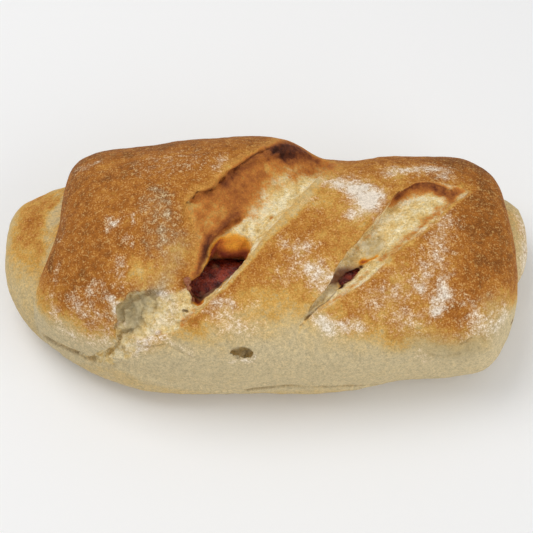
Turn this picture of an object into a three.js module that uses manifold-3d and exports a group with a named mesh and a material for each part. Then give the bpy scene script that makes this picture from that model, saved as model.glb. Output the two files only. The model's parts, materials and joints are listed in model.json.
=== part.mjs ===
// A chorizo-filled bread roll, lying on its base. A sheet of dough is wrapped once round an inner roll of dough that
// holds a whole chorizo. Its top is slashed twice on the slant, and baking has opened the slashes: the left one gapes
// as far as the chorizo and tears on down the front of the loaf, and the right one shows it in a slit.
// Millimetres, +Z up. +X is the length, -Y the front, and the origin is the middle of the base, on the table.
// A place on the crust is an angle round the loaf and an x: 0 is the back, 90 degrees the crown and 180 the front.
import * as THREE from "three";
import { mergeVertices } from "three/addons/utils/BufferGeometryUtils.js";
import Module from "manifold-3d";

const wasm = await Module();
wasm.setup();

// --- Driving dimensions: the loaf ------------------------------------------------------------------------------------

// The wrap, station by station: [x, y of the middle, half width, crown height, height of its widest line]
const WRAP = [
  [-71, 7.9, 38, 52, 22],
  [-63, 6.4, 39.1, 53.8, 23],
  [-53, 4.2, 40.6, 55, 23],
  [-40, 1.4, 42.8, 56.2, 24],
  [-23, 0.4, 44.1, 57, 24],
  [-2, 0.3, 43.6, 56, 24],
  [15, -0.8, 42, 54, 24],
  [30, -1, 41.3, 53.5, 24],
  [49, 1, 41.1, 53, 24],
  [62, 2.2, 40.8, 52, 23],
  [75, 3.9, 40.5, 50.5, 22],
  [86, 8, 35, 50, 21],
];
const WRAP_ENDS = [-72, 87.5]; // where the wrap's two cut ends lie on the middle line
const WRAP_END_SQUARENESS = 7; // superellipse power of the ends: the higher, the flatter the end face
const WRAP_SPLAY = { reach: 12, back: 8, front: -30 }; // the left end slants out by the reach between these two y's
const WRAP_LEAN = 0.0011; // the right end leans out towards the front, by this share for each mm
const WRAP_GRID = [56, 48]; // rings along the wrap, points round each
const WRAP_SLANT = 36; // the rings lean along the slashes: this far right at the back and left at the front

// The inner roll that shows at both ends and along the foot of the front: as above
const INNER = [
  [-93, 11, 38, 41, 17],
  [-84, 6.8, 37.9, 41, 17],
  [-72, 3.8, 40, 41, 17],
  [-56, 0.7, 41.7, 39, 17],
  [-40, -2.5, 41, 38, 16],
  [-2, -3, 40, 38, 16],
  [20, -3.3, 39.8, 38, 16],
  [50, -2, 36.2, 38, 16],
  [75, 9, 32.5, 38, 15],
  [92, 16, 30.5, 36, 15],
];
const INNER_ENDS = [-93.6, 94.4];
const INNER_END_SQUARENESS = 3;
const INNER_GRID = [36, 40];
const INNER_LIFT = 0.4; // its foot turns up this far from the table

const DOME_POWER = 2.3; // superellipse power of a section above its widest line
const BELLY_POWER = 2.8; // and below it
const BELLY_SAG = 1.12; // the belly would reach this far below, as a share, if the table didn't flatten it

const EAR_RISE = 5.4; // the crust beside slash 1 stands this much above the plain wrap,
const RISE_EDGE = [[20, 12], [35, 9], [60, -7], [96, -28], [140, -40]]; // the line [angle, x] that it falls off by:
const EAR_SHOULDER = 4; // from its full height this far left of the line
const EAR_DROP = 11; // down to nothing this far right of it,
const RISE_WIDTH = 44; // and over this width to the left
const RISE_ROUND = { back: [-25, 35], front: [70, 140] }; // the angles that it starts, is full, wanes and ends at
const UNEVENNESS = 0.7; // the crust's hills and hollows

// --- Driving dimensions: the slashes, the tear and the hole ----------------------------------------------------------

// Each is cut between two edges, which are lines over the crust: [angle, x], point by point. Depths are below the
// crust, and the ramps [from, to] are in degrees round the loaf.
const SLASH_1 = {
  ear: [
    [28, 18], [35, 13.5], [41.5, 7.5], [50, 1.5], [58, -6], [64, -10], [68, -13.5], [73.5, -15.5], [79, -19.5],
    [84, -25], [91, -27], [97, -28], [108, -32], [122, -35], [136, -33], [146, -26],
  ],
  lip: [
    [30, 23], [38, 22.5], [60, 15.2], [84, 6.3], [106, -1.5], [118, -6.2], [130, -13], [139, -19.7], [146, -24.5],
  ],
  starts: [27, 38],
  ends: [136, 146],
  ledge: 1.6, // the step down under the ear,
  ledgeFades: [88, 110],
  trough: 3.2, // the crumb's depth at the back
  troughFront: 4.6, // and at the front
  deepens: [70, 100],
  undercut: 1.5, // how far the ear overhangs,
  overhangs: [32, 44],
  overhangFades: [86, 104],
};
const SLASH_2 = {
  ear: [
    [58, 55], [60, 51.5], [64.5, 47.3], [68.7, 44.3], [75, 41.9], [82, 39.2], [88, 36.6], [98, 32.7], [109, 27.4],
    [119, 23.3], [127, 21], [135, 17.8], [141, 14], [153, 9.2],
  ],
  lip: [
    [58, 57], [60, 64], [63, 70.5], [66, 71], [76, 65.1], [88.7, 58.6], [101.9, 51.2], [111.4, 43.7], [121.3, 37.6],
    [129.4, 31.3], [135, 25.2], [140.7, 19.6], [147, 12.6], [153, 9.8],
  ],
  starts: [57, 66],
  ends: [138, 154],
  wall: 2.6, // extra depth against the ear
  bed: 1.8, // the crumb's depth all over
  crevice: 3.2, // extra depth along the middle,
  creviceShare: 0.36, // at this share of the way across
  creviceWidth: 0.3,
  deepens: [92, 120],
  undercut: 0.9,
  overhangs: [62, 72],
  overhangFades: [130, 148],
};
const TEAR = {
  flap: [
    [129, -27], [134, -33], [136, -41.5], [140, -44], [143.5, -46.2], [150.6, -46.3], [157, -46.7], [163.5, -46.8],
    [166, -48], [170.5, -50.7], [181, -55], [186, -59],
  ],
  right: [
    [129, -24.5], [136, -23.6], [144, -24.4], [151, -27.2], [155, -32.5], [159, -38.5], [166, -41], [174, -44],
    [186, -50],
  ],
  starts: [127, 138],
  wanes: [166, 186],
  depth: 2.6, // against the flap's edge
  depthRight: 0.8, // and at the right
  undercut: 0.8,
};

// Outlines on the crust: [angle, x], point by point
const HOLLOW = [
  [89, -6.2], [94.5, -9.5], [101, -13.8], [106, -16.5], [113, -18.2], [121, -20], [121, -8], [113, -5.2], [106, -4.6],
  [97, -5.6],
];
const OPENING = [
  [115, -18.5], [119, -19.6], [124.5, -21.1], [128.6, -23.1], [131, -25.5], [142, -24], [143, -22.4], [139, -19.4],
  [130, -13], [122, -8.6], [115, -6.2],
];
const SLIT = [[119.8, 31.2], [122.6, 27.2], [128.5, 23.6], [132, 23.4], [129.5, 27.2], [125.5, 29.8]];
const HOLE = [
  [159.6, -8.4], [160.3, -10.8], [162.5, -12], [164.6, -10.6], [165.4, -7.8], [165, -5.4], [162.6, -4.4],
  [160.4, -5.8],
];
const HOLLOW_DEPTH = 9;
const OPENING_DEPTH = 14;
const HOLE_DEPTH = 4.5;
const MOUND = { angle: 108, x: -12, depth: 9.5, radii: [9, 7, 4.6] }; // the crumb that swells up in the hollow

const CUTTER_HEIGHT = 12; // how far a cutter stands out of the crust
const FLUSH = 0.2; // and how far out of it a floor lies where a cut has faded away

// --- Driving dimensions: the chorizo ---------------------------------------------------------------------------------

const CHORIZO = { x: 1, y: -14.6, z: 33 }; // its middle
const CHORIZO_RADIUS = 12.6;
const CHORIZO_LENGTH = 122;
const CHORIZO_BOW = 3; // its ends lie this far behind its middle
const CHORIZO_LUMPS = 0.35; // how uneven its skin is
const CHORIZO_END_SQUARENESS = 4;
const CHORIZO_GRID = [22, 20];
const GAP = 0.3; // between the chorizo and the bread

// --- Small tools ----------------------------------------------------------------------------------------------------

// The value at x on a smooth line through stations [x, value, ...], read from the given column
function along(stations, x, column = 1) {
  const last = stations.length - 1;
  if (x <= stations[0][0]) return stations[0][column];
  if (x >= stations[last][0]) return stations[last][column];
  let i = 0;
  while (stations[i + 1][0] < x) i++;
  const slope = (k) => {
    const a = stations[Math.max(k - 1, 0)];
    const b = stations[Math.min(k + 1, last)];
    return (b[column] - a[column]) / (b[0] - a[0]);
  };
  const [p, q] = [stations[i], stations[i + 1]];
  const step = q[0] - p[0];
  const t = (x - p[0]) / step;
  const bend = (1 - t) ** 2 * t * slope(i) * step - (1 - t) * t * t * slope(i + 1) * step;
  return p[column] + (q[column] - p[column]) * t * t * (3 - 2 * t) + bend;
}

const ramp = ([from, to], value) => THREE.MathUtils.smoothstep(value, from, to);
const hill = (distance, width) => Math.exp(-((distance / width) ** 2));
const spread = (count, from, to) => Array.from({ length: count }, (_, i) => from + ((to - from) * i) / (count - 1));
const radians = THREE.MathUtils.degToRad;

// A closed geometry through rings of points, each ring with the same count, its two ends closed to their middles
function loft(rings) {
  const count = rings[0].length;
  const middle = (ring) => ring.reduce((sum, p) => sum.add(p), new THREE.Vector3()).divideScalar(count);
  const points = [...rings.flat(), middle(rings[0]), middle(rings[rings.length - 1])];
  const [first, last] = [points.length - 2, points.length - 1];
  const base = (rings.length - 1) * count;
  const faces = [];
  for (let k = 0; k < count; k++) {
    const next = (k + 1) % count;
    faces.push([first, next, k], [last, base + k, base + next]);
    for (let r = 0; r < base; r += count) {
      faces.push([r + k, r + next, r + count + next], [r + k, r + count + next, r + count + k]);
    }
  }
  const volume = faces.reduce((sum, [a, b, c]) => sum + points[a].dot(points[b].clone().cross(points[c])), 0);
  if (volume < 0) faces.forEach((face) => face.reverse());
  return new THREE.BufferGeometry().setFromPoints(points).setIndex(faces.flat());
}

// A geometry as a manifold-3d solid, and back
function solidOf(geometry) {
  const positions = new THREE.BufferGeometry().setAttribute("position", geometry.attributes.position);
  const merged = mergeVertices(positions.setIndex(geometry.index), 1e-4);
  const vertProperties = new Float32Array(merged.attributes.position.array);
  const triVerts = new Uint32Array(merged.index.array);
  return new wasm.Manifold(new wasm.Mesh({ numProp: 3, vertProperties, triVerts }));
}

function geometryOf(solid) {
  const { vertProperties, triVerts } = solid.getMesh();
  const geometry = new THREE.BufferGeometry();
  geometry.setAttribute("position", new THREE.BufferAttribute(vertProperties, 3));
  geometry.setIndex(new THREE.BufferAttribute(triVerts, 1));
  geometry.computeVertexNormals();
  return geometry;
}

// --- The dough ------------------------------------------------------------------------------------------------------

// A section's radius at an angle round the middle line
function sectionRadius(half, crown, widest, angle) {
  const [c, s] = [Math.abs(Math.cos(angle)), Math.sin(angle)];
  const reach = s > 0 ? crown - widest : widest * BELLY_SAG;
  const power = s > 0 ? DOME_POWER : BELLY_POWER;
  return ((c / half) ** power + (Math.abs(s) / reach) ** power) ** (-1 / power);
}

// How much of its full radius a body keeps at x, as its ends round off
function endShare([left, right], squareness, x) {
  const t = Math.min(1, Math.abs((2 * x - left - right) / (right - left)));
  return (1 - t ** squareness) ** (1 / squareness);
}

// The point of a body's skin at x and at an angle in degrees, moved outwards by the lift and kept above the floor
function skinPoint(stations, share, x, degrees, lift, floor) {
  const angle = radians(degrees);
  const [middle, half, crown, widest] = [1, 2, 3, 4].map((column) => along(stations, x, column));
  const radius = sectionRadius(half, crown, widest, angle) * share + lift;
  const y = middle + radius * Math.cos(angle);
  return new THREE.Vector3(x, y, Math.max(floor, widest + radius * Math.sin(angle)));
}

// How far the crust beside slash 1 has risen above the plain wrap: most along its ear, and little towards the front
function rise(x, degrees) {
  const beyond = x - along(RISE_EDGE, degrees);
  const round = ramp(RISE_ROUND.back, degrees) * (1 - ramp(RISE_ROUND.front, degrees));
  const left = hill(Math.min(0, beyond + EAR_SHOULDER), RISE_WIDTH);
  return EAR_RISE * round * left * (1 - ramp([-EAR_SHOULDER, EAR_DROP], beyond));
}

// The crust is a little uneven all over
function swell(x, degrees) {
  const turn = radians(degrees);
  const broad = Math.sin(x * 0.083 + 1.3) * Math.cos(2 * turn + 0.4);
  const close = Math.sin(x * 0.21 + 2 * Math.sin(turn * 2)) * Math.cos(3 * turn + x * 0.05);
  return UNEVENNESS * (0.6 * broad + 0.4 * close);
}

// A point of the wrap's crust, moved outwards by the lift
function crust(x, degrees, lift = 0) {
  const share = endShare(WRAP_ENDS, WRAP_END_SQUARENESS, x);
  const height = share * (rise(x, degrees) + swell(x, degrees)) + lift;
  const point = skinPoint(WRAP, share, x, degrees, height, 0);
  const splay = WRAP_SPLAY.reach * (1 - ramp([WRAP_SPLAY.front, WRAP_SPLAY.back], point.y));
  point.x -= x < 0 ? splay * Math.abs(x / WRAP_ENDS[0]) ** 3 : WRAP_LEAN * x * point.y;
  return point;
}

// Places along a body for its rings, evenly spaced over its outline from one end to the other
function ringPlaces([left, right], squareness, rings) {
  const [middle, reach] = [(left + right) / 2, (right - left) / 2];
  const height = 40; // the outline's height in mm, which only sets how its points are spaced
  const outline = spread(91, 0, Math.PI).map((turn) => {
    const run = Math.sign(Math.cos(turn)) * Math.abs(Math.cos(turn)) ** (2 / squareness);
    return new THREE.Vector2(middle - reach * run, height * Math.sin(turn) ** (2 / squareness));
  });
  const spaced = new THREE.SplineCurve(outline).getSpacedPoints(rings + 1).slice(1, -1);
  return spaced.map((point) => point.x);
}

function makeBody(ends, squareness, [rings, segments], place) {
  const angles = spread(segments + 1, 0, 360).slice(0, -1);
  return solidOf(loft(ringPlaces(ends, squareness, rings).map((x) => angles.map((degrees) => place(x, degrees)))));
}

// The wrap's rings lean, so that their edges run along the slashes
function makeWrap() {
  const [middle, reach] = [(WRAP_ENDS[0] + WRAP_ENDS[1]) / 2, (WRAP_ENDS[1] - WRAP_ENDS[0]) / 2];
  return makeBody(WRAP_ENDS, WRAP_END_SQUARENESS, WRAP_GRID, (x, degrees) => {
    const lean = (1 - ((x - middle) / reach) ** 2) ** 2;
    return crust(x + WRAP_SLANT * lean * Math.cos(radians(degrees)), degrees);
  });
}

function makeInner() {
  return makeBody(INNER_ENDS, INNER_END_SQUARENESS, INNER_GRID, (x, degrees) =>
    skinPoint(INNER, endShare(INNER_ENDS, INNER_END_SQUARENESS, x), x, degrees, 0, INNER_LIFT),
  );
}

// --- Slashes, tear and hole ------------------------------------------------------------------------------------------

// A cutter between two edges on the crust. Its floor lies depth(angle, share of the way from left to right) below the
// crust, and runs in under the left edge by the undercut.
function gouge({ left, right, rows, columns, undercut, depth }) {
  const angles = spread(rows, left[0][0], left[left.length - 1][0]);
  const rings = angles.map((degrees) => {
    const [from, to] = [along(left, degrees), along(right, degrees)];
    const floor = spread(columns, 0, 1).map((c) => {
      const under = undercut(degrees) * (1 - ramp([0, 0.3], c));
      return crust(from + (to - from) * c - under, degrees, -depth(degrees, c));
    });
    const lid = [crust(to + 1, degrees, CUTTER_HEIGHT), crust(from, degrees, CUTTER_HEIGHT)];
    return [...floor, crust(to, degrees, FLUSH), ...lid, crust(from, degrees, 0)];
  });
  return solidOf(loft(rings));
}

// A cutter straight into the crust through an outline, down to a depth, where it has narrowed to a share of its width
function plug(outline, depth, narrowing) {
  const middle = [0, 1].map((i) => outline.reduce((sum, point) => sum + point[i], 0) / outline.length);
  const ring = (lift, share) =>
    outline.map((point) => {
      const [degrees, x] = point.map((value, i) => middle[i] + (value - middle[i]) * share);
      return crust(x, degrees, lift);
    });
  return solidOf(loft([ring(CUTTER_HEIGHT, 1), ring(-0.3 * depth, 1), ring(-depth, narrowing)]));
}

function makeSlash1() {
  const s = SLASH_1;
  return gouge({
    left: s.ear,
    right: s.lip,
    rows: 26,
    columns: 9,
    undercut: (degrees) => s.undercut * ramp(s.overhangs, degrees) * (1 - ramp(s.overhangFades, degrees)),
    depth: (degrees, c) => {
      const present = ramp(s.starts, degrees) * (1 - ramp(s.ends, degrees));
      const ledge = s.ledge * (1 - ramp(s.ledgeFades, degrees)) * (1 - ramp([0.1, 0.5], c));
      const trough = s.trough + (s.troughFront - s.trough) * ramp(s.deepens, degrees);
      return present * (FLUSH + ledge + trough * ramp([0, 0.6], c) * (1 - 0.9 * ramp([0.84, 1], c))) - FLUSH;
    },
  });
}

function makeSlash2() {
  const s = SLASH_2;
  return gouge({
    left: s.ear,
    right: s.lip,
    rows: 26,
    columns: 8,
    undercut: (degrees) => s.undercut * ramp(s.overhangs, degrees) * (1 - ramp(s.overhangFades, degrees)),
    depth: (degrees, c) => {
      const present = ramp(s.starts, degrees) * (1 - ramp(s.ends, degrees));
      const wall = s.wall * (1 - ramp([0, 0.7], c));
      const crevice = s.crevice * ramp(s.deepens, degrees) * hill(c - s.creviceShare, s.creviceWidth);
      const bed = s.bed * (1 - ramp([0.75, 1], c));
      return present * (FLUSH + wall + crevice + bed) - FLUSH;
    },
  });
}

function makeTear() {
  return gouge({
    left: TEAR.flap,
    right: TEAR.right,
    rows: 16,
    columns: 6,
    undercut: () => TEAR.undercut,
    depth: (degrees, c) => {
      const present = ramp(TEAR.starts, degrees) * (1 - 0.6 * ramp(TEAR.wanes, degrees));
      return present * (TEAR.depth + (TEAR.depthRight - TEAR.depth) * ramp([0.2, 0.95], c));
    },
  });
}

function makeMound() {
  const middle = crust(MOUND.x, MOUND.angle, -MOUND.depth);
  const ball = new THREE.SphereGeometry(1, 20, 14);
  ball.scale(...MOUND.radii);
  ball.rotateX(radians(MOUND.angle - 90));
  return solidOf(ball.translate(middle.x, middle.y, middle.z));
}

// --- The chorizo ----------------------------------------------------------------------------------------------------

// A link along X with round ends, a little uneven, swollen by the extra
function makeLink(extra) {
  const half = CHORIZO_LENGTH / 2;
  const ends = [CHORIZO.x - half - extra, CHORIZO.x + half + extra];
  return makeBody(ends, CHORIZO_END_SQUARENESS, CHORIZO_GRID, (x, degrees) => {
    const turn = radians(degrees);
    const lumps = Math.sin(x * 0.16) * Math.cos(2 * turn + x * 0.05) + 0.8 * Math.sin(x * 0.31 + 2 * turn);
    const radius = CHORIZO_RADIUS + extra + CHORIZO_LUMPS * lumps;
    const reach = radius * endShare(ends, CHORIZO_END_SQUARENESS, x);
    const bow = CHORIZO_BOW * ((x - CHORIZO.x) / half) ** 2;
    return new THREE.Vector3(x, CHORIZO.y + bow + reach * Math.cos(turn), CHORIZO.z + reach * Math.sin(turn));
  });
}

// --- The pieces -----------------------------------------------------------------------------------------------------

function makeMesh(name, solid, color, roughness) {
  const mesh = new THREE.Mesh(geometryOf(solid), new THREE.MeshStandardMaterial({ color, roughness, metalness: 0 }));
  mesh.name = name;
  return mesh;
}

function makeBread() {
  const slashed = makeWrap().add(makeInner()).subtract(makeSlash1()).subtract(makeSlash2()).subtract(makeTear());
  const hollowed = slashed.subtract(plug(HOLLOW, HOLLOW_DEPTH, 0.8)).add(makeMound());
  const cuts = [plug(OPENING, OPENING_DEPTH, 0.9), plug(SLIT, OPENING_DEPTH, 0.8), plug(HOLE, HOLE_DEPTH, 0.5)];
  const opened = [...cuts, makeLink(GAP)].reduce((solid, cutter) => solid.subtract(cutter), hollowed);
  const pieces = opened.simplify(0.02).decompose();
  return pieces.reduce((a, b) => (a.volume() > b.volume() ? a : b)); // without the scraps that the cuts leave loose
}

const group = new THREE.Group();
group.add(makeMesh("bread", makeBread(), 0xb87a3c, 0.8));
group.add(makeMesh("chorizo", makeLink(0), 0x7a2f1e, 0.4));
const middle = new THREE.Box3().setFromObject(group).getCenter(new THREE.Vector3());
group.position.set(-middle.x, -middle.y, 0);
export default group;
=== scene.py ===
"""The looks of a chorizo-filled bread roll, built round its solids.

The loaf is a copy of its solid, remeshed finely, smoothed on to its crust and given the relief of a baked loaf: ragged
ears, open crumb, creases and pits. Its colours follow what happened to each place in the oven, which is written into
the mesh as attributes: how far it browned, where the crumb lies open, where flour lies, where the sausage's fat ran and
where an edge caught. Some of these attributes also hold painted shade and shadow, in cracks, creases, gaps, the hole,
the openings' depths and along the lower front, and a painted highlight on the hole's rim.

Scene units are metres. The sizes below are in millimetres, in the loaf's own coordinates, which lie SHIFT from the
frame that the solids are packed in. A place on the crust is an angle round the loaf and an x: 0 is the back, 90 degrees
the crown and 180 the front. Places that were measured on the photograph are pixels of its 533 x 533 frame, and a ray
through the pixel finds them on the loaf.
"""

import itertools
import json
import math

import bpy
import numpy as np
from bpy.props import FloatProperty, FloatVectorProperty, IntProperty, PointerProperty
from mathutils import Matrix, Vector
from mathutils.bvhtree import BVHTree

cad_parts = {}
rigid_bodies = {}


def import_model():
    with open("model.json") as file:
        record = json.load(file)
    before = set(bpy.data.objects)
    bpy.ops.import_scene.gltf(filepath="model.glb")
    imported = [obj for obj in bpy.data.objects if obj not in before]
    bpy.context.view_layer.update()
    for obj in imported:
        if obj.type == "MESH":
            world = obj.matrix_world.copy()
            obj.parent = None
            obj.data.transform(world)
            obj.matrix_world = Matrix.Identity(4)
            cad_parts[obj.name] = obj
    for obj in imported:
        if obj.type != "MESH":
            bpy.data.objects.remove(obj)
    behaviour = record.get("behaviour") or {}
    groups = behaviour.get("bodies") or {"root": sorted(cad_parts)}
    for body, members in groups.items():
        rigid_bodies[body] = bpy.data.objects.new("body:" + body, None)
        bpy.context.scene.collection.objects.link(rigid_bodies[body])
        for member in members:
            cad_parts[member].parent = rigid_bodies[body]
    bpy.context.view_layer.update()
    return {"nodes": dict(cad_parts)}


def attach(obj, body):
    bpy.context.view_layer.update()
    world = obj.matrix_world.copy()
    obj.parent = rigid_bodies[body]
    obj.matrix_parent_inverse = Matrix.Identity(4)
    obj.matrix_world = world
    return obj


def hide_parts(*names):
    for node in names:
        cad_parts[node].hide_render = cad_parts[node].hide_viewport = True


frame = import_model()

bl_info = {
    "name": "Chorizo-filled bread",
    "version": (1, 0, 0),
    "blender": (4, 5, 0),
    "location": "3D View > Sidebar > Bread",
    "description": "Dresses the solids of a chorizo-filled bread roll: crust, crumb, flour and sausage",
    "category": "Object",
}

MM = 0.001
SHIFT = np.array([-0.4, -1.369, 0.0])  # from the loaf's own coordinates to the row frame, in mm

# --- The loaf's skin, as the solid has it ----------------------------------------------------------------------------

# The wrap and the inner roll, station by station: [x, y of the middle, half width, height of the crown, height of the
# widest line]
WRAP = [
    [-71, 7.9, 38, 52, 22],
    [-63, 6.4, 39.1, 53.8, 23],
    [-53, 4.2, 40.6, 55, 23],
    [-40, 1.4, 42.8, 56.2, 24],
    [-23, 0.4, 44.1, 57, 24],
    [-2, 0.3, 43.6, 56, 24],
    [15, -0.8, 42, 54, 24],
    [30, -1, 41.3, 53.5, 24],
    [49, 1, 41.1, 53, 24],
    [62, 2.2, 40.8, 52, 23],
    [75, 3.9, 40.5, 50.5, 22],
    [86, 8, 35, 50, 21],
]
WRAP_ENDS = (-72, 87.5)
WRAP_SQUARENESS = 7
WRAP_SPLAY = 12  # the left end slants out by this much,
WRAP_SPLAY_FROM = (-30, 8)  # fully in front of the first y and not behind the second
WRAP_LEAN = 0.0011  # the right end leans out towards the front, by this share for each mm
INNER = [
    [-93, 11, 38, 41, 17],
    [-84, 6.8, 37.9, 41, 17],
    [-72, 3.8, 40, 41, 17],
    [-56, 0.7, 41.7, 39, 17],
    [-40, -2.5, 41, 38, 16],
    [-2, -3, 40, 38, 16],
    [20, -3.3, 39.8, 38, 16],
    [50, -2, 36.2, 38, 16],
    [75, 9, 32.5, 38, 15],
    [92, 16, 30.5, 36, 15],
]
INNER_ENDS = (-93.6, 94.4)
INNER_SQUARENESS = 3
DOME_POWER = 2.3  # how square the section is above its widest line,
BELLY_POWER = 2.8  # and below it,
BELLY_SAG = 1.12  # where it would reach this far below the floor if it weren't flat
EAR_RISE = 5.4  # how far the crust left of ear 1 has sprung up, fading behind the line RISE_EDGE [angle, x]
RISE_EDGE = [[20, 12], [35, 9], [60, -7], [96, -28], [140, -40]]
EAR_SHOULDER = 4  # the rise begins to fall off this far before that line
EAR_DROP = 11  # and has gone this far after it
RISE_WIDTH = 44  # and towards the left end it fades over this width
RISE_BACK = (-25, 35)  # the angles over which it grows from the back,
RISE_FRONT = (70, 140)  # and fades to the front
UNEVENNESS = 0.7  # height of the crust's broad unevenness

# The edges of the slashes and of the tear: [angle, x], point by point
EAR_1 = [
    [28, 18], [35, 13.5], [41.5, 7.5], [50, 1.5], [58, -6], [64, -10], [68, -13.5], [73.5, -15.5], [79, -19.5],
    [84, -25], [91, -27], [97, -28], [108, -32], [122, -35], [136, -33], [146, -26],
]
LIP_1 = [[30, 23], [38, 22.5], [60, 15.2], [84, 6.3], [106, -1.5], [118, -6.2], [130, -13], [139, -19.7], [146, -24.5]]
EAR_2 = [
    [58, 55], [60, 51.5], [64.5, 47.3], [68.7, 44.3], [75, 41.9], [82, 39.2], [88, 36.6], [98, 32.7], [109, 27.4],
    [119, 23.3], [127, 21], [135, 17.8], [141, 14], [153, 9.2],
]
LIP_2 = [
    [58, 57], [60, 64], [63, 70.5], [66, 71], [76, 65.1], [88.7, 58.6], [101.9, 51.2], [111.4, 43.7], [121.3, 37.6],
    [129.4, 31.3], [135, 25.2], [140.7, 19.6], [147, 12.6], [153, 9.8],
]
FLAP = [
    [129, -27], [134, -33], [136, -41.5], [140, -44], [143.5, -46.2], [150.6, -46.3], [157, -46.7], [163.5, -46.8],
    [166, -48], [170.5, -50.7], [181, -55], [186, -59],
]
TEAR_RIGHT = [
    [129, -24.5], [136, -23.6], [144, -24.4], [151, -27.2], [155, -32.5], [159, -38.5], [166, -41], [174, -44],
    [186, -50],
]

# --- What the oven did, with painted shade, shadow and highlight, as the photograph shows it --------------------------

# Where the brown of the crown gives way to pale dough at the front: [x, angle]
FRONT_PALES = [
    [-72, 158], [-57, 165], [-38, 160], [-25, 153], [-5, 150], [10, 151], [26, 158], [43, 161], [60, 163], [78, 162],
]
# How brown the crown is along the loaf, from 0 for dough to 1 for the darkest crust: [x, brownness]
CROWN_BROWNS = [[-72, 0.74], [-50, 0.7], [-25, 0.66], [0, 0.6], [20, 0.53], [45, 0.55], [62, 0.68], [80, 0.7]]
# The pale bands along the lips, which opened late: how wide they are at an angle, in mm
BAND_1 = [[30, 2.0], [50, 3.2], [75, 4.8], [93, 4.2], [106, 2.4], [125, 1.8], [146, 1.0]]
BAND_2 = [[58, 0.6], [80, 1.4], [120, 1.6], [150, 0.8]]
# Browner or paler than their surroundings: a line of pixels, how far it reaches in mm, and by how much
BROWNING = {
    "left shoulder": ([(92, 205), (97, 250), (90, 285)], 9, 0.04),
    "left crown": ([(130, 175), (200, 160), (250, 148)], 9, 0.06),
    "wrap's left edge": ([(74, 172), (66, 190), (66, 205), (60, 228), (55, 250), (48, 275)], 1.6, 0.2),
    "pale patch by the tear": ([(139, 272)], 4.5, -0.44),
    "pale patch over it": ([(149, 250)], 4, -0.04),
    "golden strip left of slash 1": ([(140, 235), (147, 262)], 5, -0.04),
    "pale skin": ([(184, 238), (176, 260), (168, 283)], 5, -0.2),
    "dusky patch": ([(158, 205), (165, 232)], 6, 0.1),
    "right column": ([(482, 205), (484, 250), (480, 280)], 9, 0.13),
    "right corner": ([(480, 180)], 7, 0.08),
    "middle": ([(262, 300), (300, 290)], 9, -0.08),
    "lip corner": ([(190, 326), (200, 313)], 3.4, 0.22),
    "pale right front": ([(500, 300), (505, 325)], 8, -0.28),
    "tip over slash 2": ([(462, 182)], 3, -0.2),
    "ridge by the tear": ([(144, 343), (156, 339), (165, 335)], 1.6, 0.25),
    "over the pale front": ([(395, 335), (430, 338), (455, 332)], 6, 0.2),
    "over the pale front, left": ([(205, 338), (235, 336)], 5, 0.1),
    "left roll, top": ([(40, 198), (34, 218), (30, 232)], 9, 0.28),
    "left roll, low": ([(28, 285), (36, 300)], 7, -0.1),
    "left roll, by the wrap": ([(62, 200), (56, 222), (50, 245), (45, 262)], 2.6, -0.34),
    "right roll, top": ([(519, 225)], 5, 0.2),
    "between the slashes, upper": ([(330, 182), (322, 196)], 4, -0.2),
    "between the slashes, by slash 2": ([(356, 222), (363, 212)], 3.5, -0.14),
    "upper rim": ([(390, 171), (425, 168)], 4, -0.14),
    "flap's edge": ([(158, 290), (147, 288.5), (140, 290), (132, 293), (125, 297), (117, 304), (116, 314),
        (118, 323), (115, 331), (116, 338), (112, 345), (102, 350)], 0.8, -0.4),
    "rim of the opening": ([(254, 266), (241, 276), (230, 286), (217, 297)], 1.4, 0.2),
}
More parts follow.
